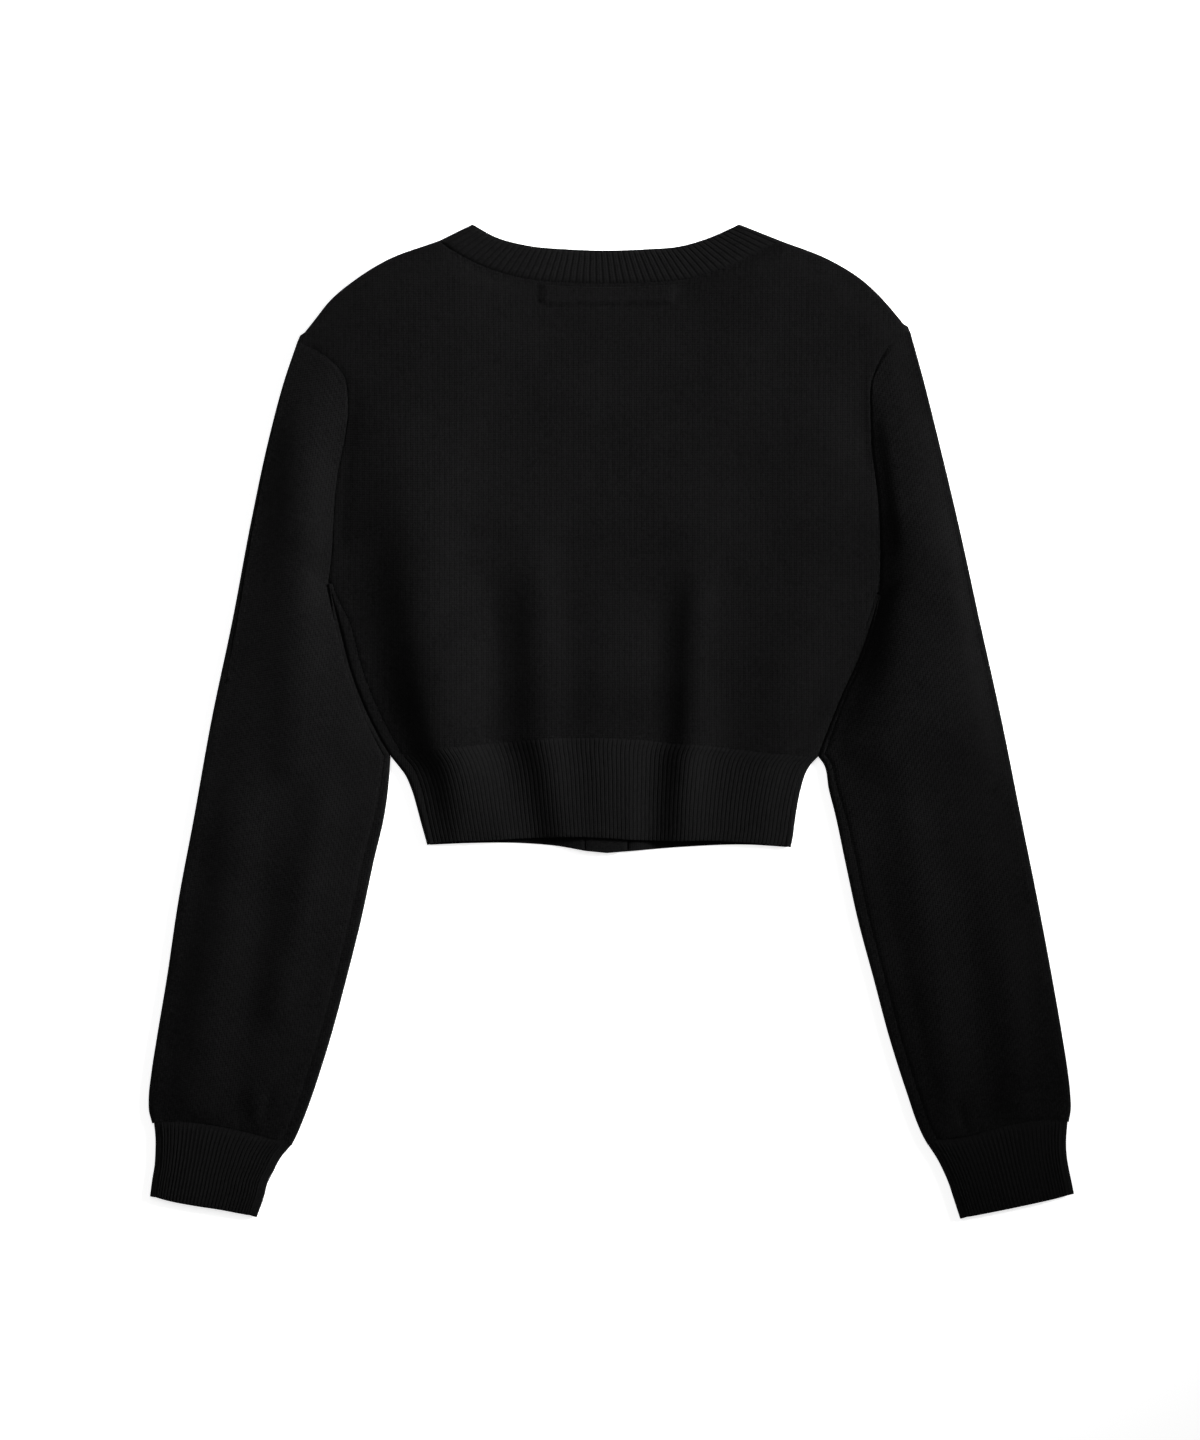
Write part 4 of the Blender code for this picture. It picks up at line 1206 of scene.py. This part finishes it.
@dataclass
class Band(Piece):
    """One of the two overlapping bands down the centre front."""

    z: float = 0.0
    bottom: tuple[tuple[float, float], ...] = ((-17.3, -86.7), (-3.5, -88), (10.3, -86.9))
    top_y: float = 257.5
    across_steps: int = 14
    along_steps: int = 140
    edge_round: float = 0.7
    edge_width: float = 1.2

    def build(self) -> bpy.types.Mesh:
        """Makes the band's double cloth, rounded along its edges.

        Returns:
            The mesh.
        """
        x, low = (np.interp(even(self.across_steps), even(2), column) for column in np.array(self.bottom).T)
        y = blend(low[None], self.top_y, even(self.along_steps)[:, None])
        plan = np.stack([np.broadcast_to(x, y.shape), y], axis=-1)
        thin = self.edge_round * np.exp(-((from_sides(plan) / self.edge_width) ** 2))
        return self.sew([with_height(plan, self.z + thin), with_height(plan, self.z + SIZES.band - thin)])


@dataclass
class Button:
    """A round four-hole button, its face to the floor, sewn under the bands."""

    node: str
    centre: tuple[float, float]
    radius: float = 7.0
    rim: float = 0.55
    lip: float = 0.5
    edge_round: float = 0.35
    rings: int = 26
    sides: int = 72
    hole_off: float = 1.7
    hole_radius: float = 0.85

    def level(self, x: Grid, y: Grid, radial: Grid) -> Grid:
        """The face's height over the floor: a raised rim, a dished middle and four holes.

        Args:
            x: How far each point is to the side of the centre.
            y: How far it is along from the centre.
            radial: Its share of the radius.

        Returns:
            The height at each point.
        """
        rim = self.rim * ease((0.8 - radial) / 0.14)
        off = np.hypot(np.abs(x) - self.hole_off, np.abs(y) - self.hole_off)
        holes = ease((self.hole_radius - off) / 0.3)
        return rim + self.lip * ease((radial - 0.88) / 0.12) + holes * (SIZES.button_thick * 0.6 - rim)

    def dress(self, finishes: dict[str, bpy.types.Material]) -> bpy.types.Object:
        """Makes the button and puts it in the scene in place of its solid.

        Args:
            finishes: The finishes by name.

        Returns:
            The new object.
        """
        radial = 0.01 + 0.99 * even(self.rings)[:, None]
        angle = np.linspace(0, 2 * math.pi, self.sides, endpoint=False)[None]
        x, y = self.radius * radial * np.cos(angle), self.radius * radial * np.sin(angle)
        radial = np.broadcast_to(radial, x.shape)
        high = SIZES.button_thick - self.edge_round * ease((radial - 0.85) / 0.15)
        plan = np.stack([x, y], axis=-1) + self.centre
        marks = np.concatenate([plan, plan[:, :1]], axis=1) / MM_PER_CM
        faces = [with_height(plan, self.level(x, y, radial)), with_height(plan, high)]
        mesh = cloth_mesh(self.node, faces, marks, True)
        return place(mesh, self.node, "_turned", finishes["button"], "button")


class NodeBench:
    """Places and joins the nodes of one material or node group."""

    def __init__(self, tree: bpy.types.NodeTree) -> None:
        """Starts work on a tree."""
        self.tree = tree

    def feed(self, node: bpy.types.Node, inputs: dict[str | int, object]) -> bpy.types.Node:
        """Gives a node its inputs.

        Args:
            node: The node.
            inputs: A value or an output socket for each input, by name or place.

        Returns:
            The same node.
        """
        for key, value in inputs.items():
            if isinstance(value, bpy.types.NodeSocket):
                self.tree.links.new(value, node.inputs[key])
            else:
                node.inputs[key].default_value = value
        return node

    def put(
        self, kind: str, inputs: dict[str | int, object] | None = None, **settings: object
    ) -> bpy.types.Node:
        """Adds a node.

        Args:
            kind: Its type.
            inputs: A value or an output socket for each input, by name or place.
            settings: Its own settings.

        Returns:
            The node.
        """
        node = self.tree.nodes.new(kind)
        for name, value in settings.items():
            setattr(node, name, value)
        return self.feed(node, inputs or {})

    def math(self, operation: str, *values: object, clamp: bool = False) -> bpy.types.NodeSocket:
        """Adds a Math node on these values and returns its output."""
        node = self.put("ShaderNodeMath", dict(enumerate(values)), operation=operation, use_clamp=clamp)
        return node.outputs[0]

    def noise(self, place: bpy.types.NodeSocket, scale: object, detail: float) -> bpy.types.NodeSocket:
        """Adds a Noise node of this scale and detail at a place and returns its value."""
        return self.put("ShaderNodeTexNoise", {"Vector": place, "Scale": scale, "Detail": detail}).outputs[0]

    def bump(self, height: bpy.types.NodeSocket, depth: float, **others: object) -> bpy.types.NodeSocket:
        """Adds a Bump node on this height and depth and returns its normal."""
        return self.put("ShaderNodeBump", {"Height": height, "Distance": depth, **others}).outputs[0]


class Surface(NodeBench):
    """The nodes of one material, round its Principled shader."""

    def __init__(self, name: str, shader_inputs: dict[str | int, object]) -> None:
        """Starts the material.

        Args:
            name: Its name.
            shader_inputs: The shader's inputs that stay the same all over.
        """
        self.material = bpy.data.materials.new(name)
        self.material.use_nodes = True
        super().__init__(self.material.node_tree)
        self.shader = self.feed(self.tree.nodes["Principled BSDF"], shader_inputs)
        self.place = self.put("ShaderNodeTexCoord").outputs["Object"]

    def tint(self, share: bpy.types.NodeSocket, first: Colour, last: Colour) -> None:
        """Blends the base colour from the first colour to the last by a share."""
        mix = self.put("ShaderNodeMix", {0: share, 6: (*first, 1), 7: (*last, 1)}, data_type="RGBA")
        self.feed(self.shader, {"Base Color": mix.outputs[2]})


@dataclass(frozen=True)
class Effect:
    """A shader node group that finishes share."""

    name: str
    inputs: dict[str, float]
    outputs: tuple[str, ...]

    def start(self) -> tuple[NodeBench, bpy.types.Node, bpy.types.Node]:
        """Makes the group with its sockets, the first of them the place.

        Returns:
            A bench for its tree, its input node and its output node.
        """
        tree = bpy.data.node_groups.new(self.name, "ShaderNodeTree")
        tree.interface.new_socket("Place", in_out="INPUT", socket_type="NodeSocketVector")
        for name, value in self.inputs.items():
            socket = tree.interface.new_socket(name, in_out="INPUT", socket_type="NodeSocketFloat")
            socket.default_value = value
        for name in self.outputs:
            tree.interface.new_socket(name, in_out="OUTPUT", socket_type="NodeSocketFloat")
        bench = NodeBench(tree)
        return bench, bench.put("NodeGroupInput"), bench.put("NodeGroupOutput")


def stitch_effect() -> bpy.types.NodeTree:
    """Rows of knit stitches: each wale has two slanted legs, with a gap between wales, and a mask of these
    gaps for painted shade.

    Returns:
        The node group.
    """
    inputs = {"Wales": 6.0, "Courses": 8.0, "Slant": 0.6, "Waver": 0.1}
    bench, given, out = Effect("knit_stitches", inputs, ("Height", "Painted gap shade")).start()
    place, wales, courses, slant, waver = (given.outputs[name] for name in ("Place", *inputs))
    shift = bench.math("MULTIPLY", bench.math("SUBTRACT", bench.noise(place, 1.7, 3.0), 0.5), waver)
    split = bench.put("ShaderNodeSeparateXYZ", {0: place})
    across = bench.math("ADD", bench.math("MULTIPLY", split.outputs[0], wales), shift)
    along = bench.math("ADD", bench.math("MULTIPLY", split.outputs[1], courses), shift)
    part = bench.math("FRACT", across)
    off = bench.math("ABSOLUTE", bench.math("SUBTRACT", part, 0.5))
    legs = bench.math("ABSOLUTE", bench.math("SINE", bench.math("MULTIPLY", part, 2 * math.pi)))
    legs = bench.math("POWER", legs, 0.6)
    wale = bench.math("POWER", bench.math("SINE", bench.math("MULTIPLY", part, math.pi)), 0.5)
    leaning = bench.math("ADD", along, bench.math("MULTIPLY", off, slant))
    row = bench.math("SINE", bench.math("MULTIPLY", leaning, 2 * math.pi))
    row = bench.math("MULTIPLY_ADD", row, 0.14, 0.86)
    height = bench.math("MULTIPLY", legs, row)
    height = bench.math("MULTIPLY", height, bench.math("MULTIPLY_ADD", wale, 0.5, 0.5))
    bench.feed(out, {"Height": height, "Painted gap shade": bench.math("SUBTRACT", 1.0, wale, clamp=True)})
    return bench.tree


def yarn_effect() -> bpy.types.NodeTree:
    """Loose fibre, lint and slow unevenness of tone over knitted yarn.

    Returns:
        The node group.
    """
    inputs = {"Fibre": 2600.0, "Heather": 700.0, "Patch": 22.0}
    bench, given, out = Effect("yarn_fuzz", inputs, ("Fibre height", "Tone", "Lint")).start()
    place, fibre, heather, patch = (given.outputs[name] for name in ("Place", *inputs))
    fine, uneven, slow = (
        bench.noise(place, scale, detail) for scale, detail in ((fibre, 2.0), (heather, 2.0), (patch, 4.0))
    )
    specks = bench.put("ShaderNodeTexVoronoi", {"Vector": place, "Scale": 620.0, "Randomness": 1.0})
    lint = bench.math("LESS_THAN", specks.outputs["Distance"], 0.09)
    few = bench.math("GREATER_THAN", fine, 0.52)
    tone = bench.math("MULTIPLY_ADD", bench.math("SUBTRACT", uneven, 0.5), 3.0, slow)
    bench.feed(out, {"Fibre height": fine, "Tone": tone, "Lint": bench.math("MULTIPLY", lint, few)})
    return bench.tree


@dataclass(frozen=True)
class KnitFinish:
    """How one kind of knitted cloth looks."""

    name: str
    colour: Colour
    worn: Colour
    wales_per_cm: float
    courses_per_cm: float
    stitch_depth: float
    fibre_depth: float = 0.00006
    slant: float = 0.6
    waver: float = 0.25
    roughness: float = 0.9
    sheen: float = 0.01
    sheen_roughness: float = 0.45
    specular: float = 0.02

    def make(self, stitches: bpy.types.NodeTree, yarn: bpy.types.NodeTree) -> bpy.types.Material:
        """Makes the finish.

        Args:
            stitches: The stitch effect.
            yarn: The yarn effect.

        Returns:
            The material.
        """
        sheen = {"Weight": self.sheen, "Roughness": self.sheen_roughness, "Tint": (0.5, 0.5, 0.5, 1)}
        sheen = {f"Sheen {name}": value for name, value in sheen.items()}
        bench = Surface(self.name, {"Metallic": 0.0, "Specular IOR Level": self.specular, **sheen})
        knit = bench.put("ShaderNodeUVMap", uv_map="knit").outputs[0]
        density = {"Wales": self.wales_per_cm, "Courses": self.courses_per_cm}
        sizes = {"Place": knit, **density, "Slant": self.slant, "Waver": self.waver}
        stitch = bench.feed(bench.put("ShaderNodeGroup", node_tree=stitches), sizes).outputs
        fuzz = bench.feed(bench.put("ShaderNodeGroup", node_tree=yarn), {"Place": bench.place}).outputs
        tone = bench.math("MULTIPLY_ADD", fuzz["Tone"], 0.9, 0.1, clamp=True)
        # Painted shade: the base colour falls to the finish's darker colour in the gaps between wales; the
        # rest of the tone is random mottling and lint.
        tone = bench.math("MULTIPLY", tone, bench.math("MULTIPLY_ADD", stitch["Painted gap shade"], -1.0, 1.0))
        bench.tint(bench.math("MAXIMUM", tone, fuzz["Lint"]), self.colour, self.worn)
        rough = bench.math("MULTIPLY_ADD", fuzz["Fibre height"], 0.12, self.roughness - 0.06, clamp=True)
        fibre = bench.bump(fuzz["Fibre height"], self.fibre_depth, Strength=1.0)
        normal = bench.bump(stitch["Height"], self.stitch_depth, Strength=1.0, Normal=fibre)
        bench.feed(bench.shader, {"Roughness": rough, "Normal": normal})
        return bench.material


@dataclass(frozen=True)
class ButtonFinish:
    """Dull moulded plastic with fine scuffs."""

    name: str = "button"
    colour: Colour = (0.008, 0.008, 0.008)
    worn: Colour = (0.02, 0.02, 0.02)
    roughness: float = 0.38

    def make(self) -> bpy.types.Material:
        """Makes the finish.

        Returns:
            The material.
        """
        bench = Surface(self.name, {"Metallic": 0.0})
        scuffs = bench.noise(bench.place, 900.0, 5.0)
        bench.tint(bench.noise(bench.place, 140.0, 3.0), self.colour, self.worn)
        rough = bench.math("MULTIPLY_ADD", scuffs, 0.25, self.roughness - 0.1, clamp=True)
        bench.feed(bench.shader, {"Roughness": rough, "Normal": bench.bump(scuffs, 0.00003, Strength=0.6)})
        return bench.material


@dataclass(frozen=True)
class Lamp:
    """A square soft light that points at the garment."""

    name: str
    place: tuple[float, float, float]
    aim: tuple[float, float, float]
    size: float
    spread: float
    watts: float

    def hang(self) -> None:
        """Puts the light in the scene."""
        data = bpy.data.lights.new(self.name, "AREA")
        data.shape = "SQUARE"
        data.size = self.size
        data.energy = self.watts
        data.spread = math.radians(self.spread)
        lamp = bpy.data.objects.new(self.name, data)
        lamp.location = self.place
        lamp.rotation_euler = (Vector(self.aim) - Vector(self.place)).to_track_quat("-Z", "Y").to_euler()
        bpy.context.scene.collection.objects.link(lamp)


@dataclass
class Studio:
    """The pale floor, the soft light and the camera straight above."""

    picture_height: int = 1440
    mm_per_pixel: float = 2 / 3
    centre: tuple[float, float] = (-8.0, 0.7)
    camera_height: float = 3.0
    sensor: float = 36.0
    floor_half: float = 6.0
    floor_colour: Colour = (0.84, 0.84, 0.84)
    floor_glow: float = 0.72
    lamps: tuple[Lamp, ...] = (
        Lamp("key", (1.9, 0.8, 1.3), (-0.19, 0.13, 0.0), 0.8, 25.0, 6.5),
        Lamp("fill", (-0.25, 0.35, 1.6), (-0.05, 0.05, 0.0), 0.9, 120.0, 2.9),
    )
    sky: float = 0.13

    def lay_floor(self) -> None:
        """Makes the floor and its faintly mottled finish."""
        mesh = bpy.data.meshes.new("floor")
        h = self.floor_half
        mesh.from_pydata([(-h, -h, 0), (h, -h, 0), (h, h, 0), (-h, h, 0)], [], [(0, 1, 2, 3)])
        floor = bpy.data.objects.new("floor", mesh)
        floor.location.z = -0.0002
        bpy.context.scene.collection.objects.link(floor)
        glow = {"Emission Color": (1, 1, 1, 1), "Emission Strength": self.floor_glow}
        bench = Surface("pale_floor", {"Roughness": 0.9, "Specular IOR Level": 0.1, **glow})
        lighter = tuple(value * 1.02 for value in self.floor_colour)
        bench.tint(bench.noise(bench.place, 3.0, 2.0), self.floor_colour, lighter)
        mesh.materials.append(bench.material)

    def set_camera(self) -> None:
        """Puts the camera straight above, so that the picture shows the garment at its own scale."""
        data = bpy.data.cameras.new("camera")
        data.sensor_fit = "VERTICAL"
        data.sensor_height = self.sensor
        data.lens = self.sensor * self.camera_height / (self.picture_height * self.mm_per_pixel * MM)
        camera = bpy.data.objects.new("camera", data)
        camera.location = (self.centre[0] * MM, self.centre[1] * MM, self.camera_height + 0.006)
        bpy.context.scene.collection.objects.link(camera)
        bpy.context.scene.camera = camera

    def set_up(self) -> None:
        """Builds the whole studio."""
        self.lay_floor()
        for lamp in self.lamps:
            lamp.hang()
        self.set_camera()
        scene = bpy.context.scene
        scene.world = bpy.data.worlds.new("studio")
        scene.world.use_nodes = True
        background = scene.world.node_tree.nodes["Background"].inputs
        background["Color"].default_value = (1, 1, 1, 1)
        background["Strength"].default_value = self.sky
        scene.view_settings.view_transform = "Standard"
        scene.view_settings.look = "None"


# The outlines are rows of (x, y), the heights of the upper layer along a border are rows of
# (share of the border, height), and a fold is a soft ridge (+) or trough (-) of the upper layer:
# its start, end, half width, height and the share of its length over which it rises
BACK_JOIN = [
    (-147.3, -24), (-116, -19), (-83.3, -15.3), (-56.7, -12.7), (-32, -11.3), (-4, -11.3), (20.7, -12.7),
    (41.3, -14.7), (66, -16.7), (100.7, -21), (137.3, -24),
]


def make_left() -> Half:
    """The wearer's left half, whose side seam lies well round on the back.

    Returns:
        Its outlines, sizes and folds.
    """
    return Half(
        "left",
        side_line=[(-147.3, -24), (-152.7, -15.3), (-170.7, 22.7), (-183.3, 68.7), (-188.7, 91.3)],
        armhole_line=[
            (-188.7, 91.3), (-186.7, 107.3), (-184, 147.3), (-181.3, 168.7), (-177.3, 189.3),
            (-175.3, 212), (-178.5, 230), (-192.7, 244.5), (-210, 253),
        ],
        shoulder_line=[
            (-210, 253), (-198.7, 267.3), (-188, 280.7), (-172, 294), (-150.7, 307.3), (-114.7, 320.7),
        ],
        strip_width=8.0,
        join_into=unit(np.subtract(BACK_JOIN[1], BACK_JOIN[0])),
        armhole_heights=[(0, 7), (0.12, 10.5), (0.5, 13), (0.85, 11), (1, 7)],
        placket_x=-17.0,
        placket_z=UPPER_BAND_Z,
        neck_line=[(-17.3, 236), (-40, 240), (-70, 254), (-95, 279), (-108, 303), (-114.7, 320.7)],
        neck_top=[(-17.3, 258), (-34, 261), (-58, 273), (-77, 292), (-87, 310), (-93.3, 331.3)],
        join_line=[(-17.3, -13), (-60, -14), (-110, -19), (-147.3, -24)],
        hem_line=[(-17.3, -86.7), (-36, -83.5), (-60, -81.5), (-95, -81.5), (-123.3, -82.7)],
        rib_edge=[
            (-123.3, -82.7), (-124.6, -78), (-127.6, -67.3), (-130.4, -56.7), (-133.6, -46),
            (-138.4, -35.3), (-142.4, -30), (-147.3, -24),
        ],
        sleeve_outer=[
            (-210, 253), (-218.7, 227.3), (-229.3, 187.3), (-240.7, 134), (-253.3, 67.3), (-267.3, 0.7),
            (-279.3, -66), (-289.3, -119.3), (-297.3, -172.7), (-304, -212.7), (-307.3, -234),
            (-309.2, -252), (-309, -260), (-306.8, -268.5),
        ],
        sleeve_inner=[
            (-147.7, -24), (-149.2, -44), (-151.6, -62), (-158.7, -92.7), (-167.3, -132.7),
            (-177.3, -172.7), (-188.1, -212.7), (-194.7, -234), (-200, -250), (-206, -266),
            (-210.5, -276.7), (-214, -283.5),
        ],
        sleeve_crown=6.0,
        sleeve_rounding=(16, 18, 30, 20),
        sleeve_folds=[
            Fold((-203, 228), (-212, -25), 17, 6.0, 0.35),
            Fold((-240, -20), (-279, -262), 14, 4.5, 0.35),
            Fold((-225, -60), (-250, -262), 10, -1.8, 0.4),
            Fold((-185, -20), (-222, -190), 11, 3.4, 0.35),
            Fold((-272, -215), (-276, -266), 7, -1.2, 0.5),
            Fold((-238, -240), (-236, -275), 6, 1.8, 0.5),
        ],
        sleeve_creases=[
            Fold((-226, -243), (-232, -266), 2.5, -1.3, 0.3),
            Fold((-176, 215), (-186, 100), 4, -1.2, 0.3),
        ],
        cuff_outer=[
            (-305.6, -268.5), (-304.7, -277), (-304.7, -287), (-305.3, -296.7), (-306.7, -305),
            (-308.3, -317),
        ],
        cuff_inner=[
            (-215, -284), (-222, -292.7), (-226, -300.7), (-230, -308.7), (-232, -316.7), (-237, -331),
        ],
        cuff_edge=[
            (-308.3, -317), (-292, -320.7), (-276, -323.5), (-260, -326), (-248, -328.5), (-237, -331),
        ],
        cuff_join=[(-305.6, -268.5), (-284, -269.5), (-254, -274), (-232, -279.5), (-215, -284)],
    )


def make_right() -> Half:
    """The wearer's right half.

    Returns:
        Its outlines, sizes and folds.
    """
    return Half(
        "right",
        side_line=[(137.3, -24), (145.3, -3.3), (154, 18), (164.7, 41.3), (172.7, 64), (178, 84)],
        armhole_line=[
            (178, 84), (178.7, 114), (176.7, 152.7), (173.3, 178.7), (172.2, 205), (173, 226),
            (180.7, 244), (188, 253.3), (199.3, 259),
        ],
        shoulder_line=[
            (199.3, 259), (191.3, 269), (181.3, 280.7), (167.3, 294), (146, 307.3), (112, 320.7),
        ],
        strip_width=3.7,
        join_into=unit(np.subtract(BACK_JOIN[-2], BACK_JOIN[-1])),
        armhole_heights=[(0, 7), (0.12, 8.5), (0.4, 9), (0.75, 9.5), (0.9, 10), (1, 7)],
        placket_x=10.0,
        placket_z=LOWER_BAND_Z,
        neck_line=[(10.3, 236), (34, 240), (65, 254), (91, 279), (105, 303), (112, 320.7)],
        neck_top=[(10.3, 258), (28, 261), (52, 273), (70, 292), (80, 310), (85.3, 331.3)],
        join_line=[(10.3, -13), (50, -15), (100, -20), (137.3, -24)],
        hem_line=[(10.3, -87), (47.3, -84), (89, -82.5), (119.3, -84.3)],
        rib_edge=[
            (119.3, -84.3), (120.6, -78), (122, -67.3), (123.6, -56.7), (125.8, -46), (129, -35.3),
            (131.8, -30), (137.3, -24),
        ],
        sleeve_outer=[
            (199.3, 259), (208, 227.3), (218, 187.3), (230.7, 134), (245.3, 67.3), (260, 0.7),
            (273.3, -66), (284, -119.3), (294, -172.7), (300.9, -212.7), (304.2, -234), (305.9, -250),
            (306.2, -259), (304.8, -267.5),
        ],
        sleeve_inner=[
            (137.7, -24), (140.8, -28), (144.7, -46), (148.8, -62), (155.3, -92.7), (164, -132.7),
            (174.7, -172.7), (185.4, -212.7), (192, -234), (197.3, -250), (202.7, -266), (207.3, -276.7),
            (210.8, -283),
        ],
        sleeve_crown=2.0,
        sleeve_rounding=(16, 22, 30, 20),
        sleeve_folds=[
            Fold((181, 222), (198, 105), 10, 4.4, 0.4, 0.35, 60),
            Fold((214, 150), (182, -44), 22, 8.8, 0.3, 0.3, 80),
            Fold((207, 70), (156, -34), 17, 4.6, 0.4, 0.25, 50),
            Fold((232, -90), (250, -262), 12, -2.6, 0.4),
            Fold((190, -20), (224, -245), 13, 4.0, 0.25),
            Fold((258, -110), (272, -264), 11, 2.6, 0.5),
            Fold((232, -235), (234, -272), 6, -1.8, 0.5),
        ],
        sleeve_creases=[
            Fold((228, -248), (237, -276), 2.5, -1.3, 0.3),
            Fold((168, -60), (215, -245), 3.5, -0.5, 0.2),
        ],
        cuff_outer=[
            (304, -267.5), (303.2, -277), (303.2, -287), (304.5, -296.7), (306.2, -305), (308.3, -315.2),
        ],
        cuff_inner=[
            (211.4, -283.5), (217.3, -292.7), (221.3, -300.7), (224.7, -308.7), (227.3, -316.7),
            (232.3, -332),
        ],
        cuff_edge=[
            (308.3, -315.2), (297.3, -318), (281.3, -321.6), (265.3, -325), (249.3, -328.3),
            (232.3, -332),
        ],
        cuff_join=[(304, -267.5), (283, -268.5), (264, -272), (240, -278.5), (211.4, -283.5)],
    )


def make_body() -> Body:
    """The outlines that the back shares with its hem band and the neckband.

    Returns:
        These outlines, with both halves.
    """
    return Body(
        neck=[
            (-114.7, 320.7), (-104, 312.7), (-84, 302.7), (-58, 295.3), (-30.7, 292.7), (-4, 292),
            (22, 292.7), (51.3, 295.3), (75.3, 302.7), (92.7, 310.7), (112, 320.7),
        ],
        neck_top=[
            (-93.3, 331.3), (-77.3, 322.7), (-56.7, 317.3), (-30, 314.8), (-4.7, 314), (22, 314.8),
            (45.3, 316.7), (66, 322.7), (85.3, 331.3),
        ],
        join=BACK_JOIN,
        hem=[
            (-123.3, -82.7), (-114, -80.9), (-83.3, -79.7), (-60, -78.3), (-18.7, -77.3), (10.7, -79),
            (38, -80), (66, -79.8), (92.7, -81.3), (119.3, -84.3),
        ],
        join_heights=[(0, 8), (0.1, 9), (0.42, 10), (0.58, 10), (0.9, 9), (1, 8)],
        hem_heights=[
            (0, 6.8), (0.08, 10), (0.18, 9), (0.28, 5.8), (0.375, 11.8), (0.46, 10.7), (0.55, 10.2),
            (0.62, 5.8), (0.715, 11.6), (0.82, 8.6), (0.93, 8.6), (1, 6.8),
        ],
        neck_heights=[(0, 7), (0.15, 6.5), (0.5, 5), (0.85, 6.5), (1, 7)],
        folds=[
            Fold((-142, 225), (-112, -16), 25, 13.0, 0.45),
            Fold((-105, 300), (-112, 120), 38, 3.4, 0.4),
            Fold((-80, 130), (-76, -14), 13, -3.4, 0.6),
            Fold((-50, 150), (-46, -14), 14, 6.0, 0.6),
            Fold((-5, 120), (-8, -14), 16, 2.4, 0.5),
            Fold((33, 120), (31, -16), 12, -3.0, 0.6),
            Fold((60, 150), (54, -16), 12, 5.8, 0.6),
            Fold((122, 120), (112, -14), 20, 3.4, 0.5),
            Fold((150, 258), (168, 165), 9, -3.0, 0.4),
        ],
        creases=[
            Fold((162, 266), (172, 172), 6, -2.6, 0.3),
            Fold((-172, 232), (-181, 120), 6, -1.5, 0.3),
        ],
        label_mark=Plateau((-46.5, 278.0), (41.0, 296.0), 2.6, 2.2),
        left=make_left(),
        right=make_right(),
    )


def make_pieces(body: Body) -> list[Piece]:
    """All the knit pieces, the lower ones first.

    Args:
        body: The outlines that they share.

    Returns:
        The pieces, each with its finish, the size of its cut and what it rests on.
    """
    fronts = ("left_front", "right_front")
    hems = ("left_front_hem_rib", "right_front_hem_rib")
    pieces: list[Piece] = [
        Band("buttonhole_band", "band_knit", (0.030, 0.345), 0.95, z=LOWER_BAND_Z),
        Band("button_band", "band_knit", (0.030, 0.345), 0.95, ("buttonhole_band",), z=UPPER_BAND_Z),
    ]
    for half in (body.left, body.right):
        pieces += [
            Front(half.name + "_front", "jersey_knit", (0.20, 0.345), 0.74, half=half),
            FrontHem(half.name + "_front_hem_rib", "rib_knit", (0.135, 0.068), 0.95, half=half),
            Sleeve(half.name + "_sleeve", "jersey_knit", (0.27, 0.56), 0.66, half=half),
            Cuff(half.name + "_cuff", "rib_knit", (0.175, 0.055), 0.95, half=half),
        ]
    pieces += [
        Back("back_body", "jersey_knit", (0.40, 0.345), 0.84, fronts, body=body),
        BackHem("back_hem_rib", "rib_knit", (0.262, 0.068), 0.95, hems, body=body),
        Neckband("neckband", "rib_knit", (0.62, 0.024), 0.85, fronts, body=body),
    ]
    return pieces


# Each finish's first colour is its cloth colour and also the painted shade in the gaps between wales; the
# second is the lighter tone of random mottling and lint.
KNIT_FINISHES = [
    KnitFinish("jersey_knit", (0.0022, 0.0022, 0.00224), (0.0062, 0.0062, 0.0063), 6.2, 8.5, 0.00055),
    KnitFinish("rib_knit", (0.0030, 0.0030, 0.00305), (0.0053, 0.0053, 0.0054), 3.7, 8.5, 0.00020),
    KnitFinish("band_knit", (0.0030, 0.0030, 0.00305), (0.0053, 0.0053, 0.0054), 6.5, 9.0, 0.00025),
]
BUTTON_X = -3.5
BUTTON_ROWS = np.linspace(-78.0, 246.0, 6)


def main() -> None:
    """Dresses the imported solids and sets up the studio."""
    logging.basicConfig(level=logging.INFO, format="%(message)s")
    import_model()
    effects = stitch_effect(), yarn_effect()
    finishes = {finish.name: finish.make(*effects) for finish in KNIT_FINISHES}
    finishes["button"] = ButtonFinish().make()
    for piece in make_pieces(make_body()):
        made = piece.dress(finishes)
        triangles = sum(len(face.vertices) - 2 for face in made.data.polygons)
        log.info("%s: %d triangles", made.name, triangles)
    for index, y in enumerate(BUTTON_ROWS):
        made = Button(f"button_{index + 1}", (BUTTON_X, float(y))).dress(finishes)
        log.info("%s", made.name)
    Studio().set_up()
    bpy.context.view_layer.update()


if __name__ == "__main__":
    main()
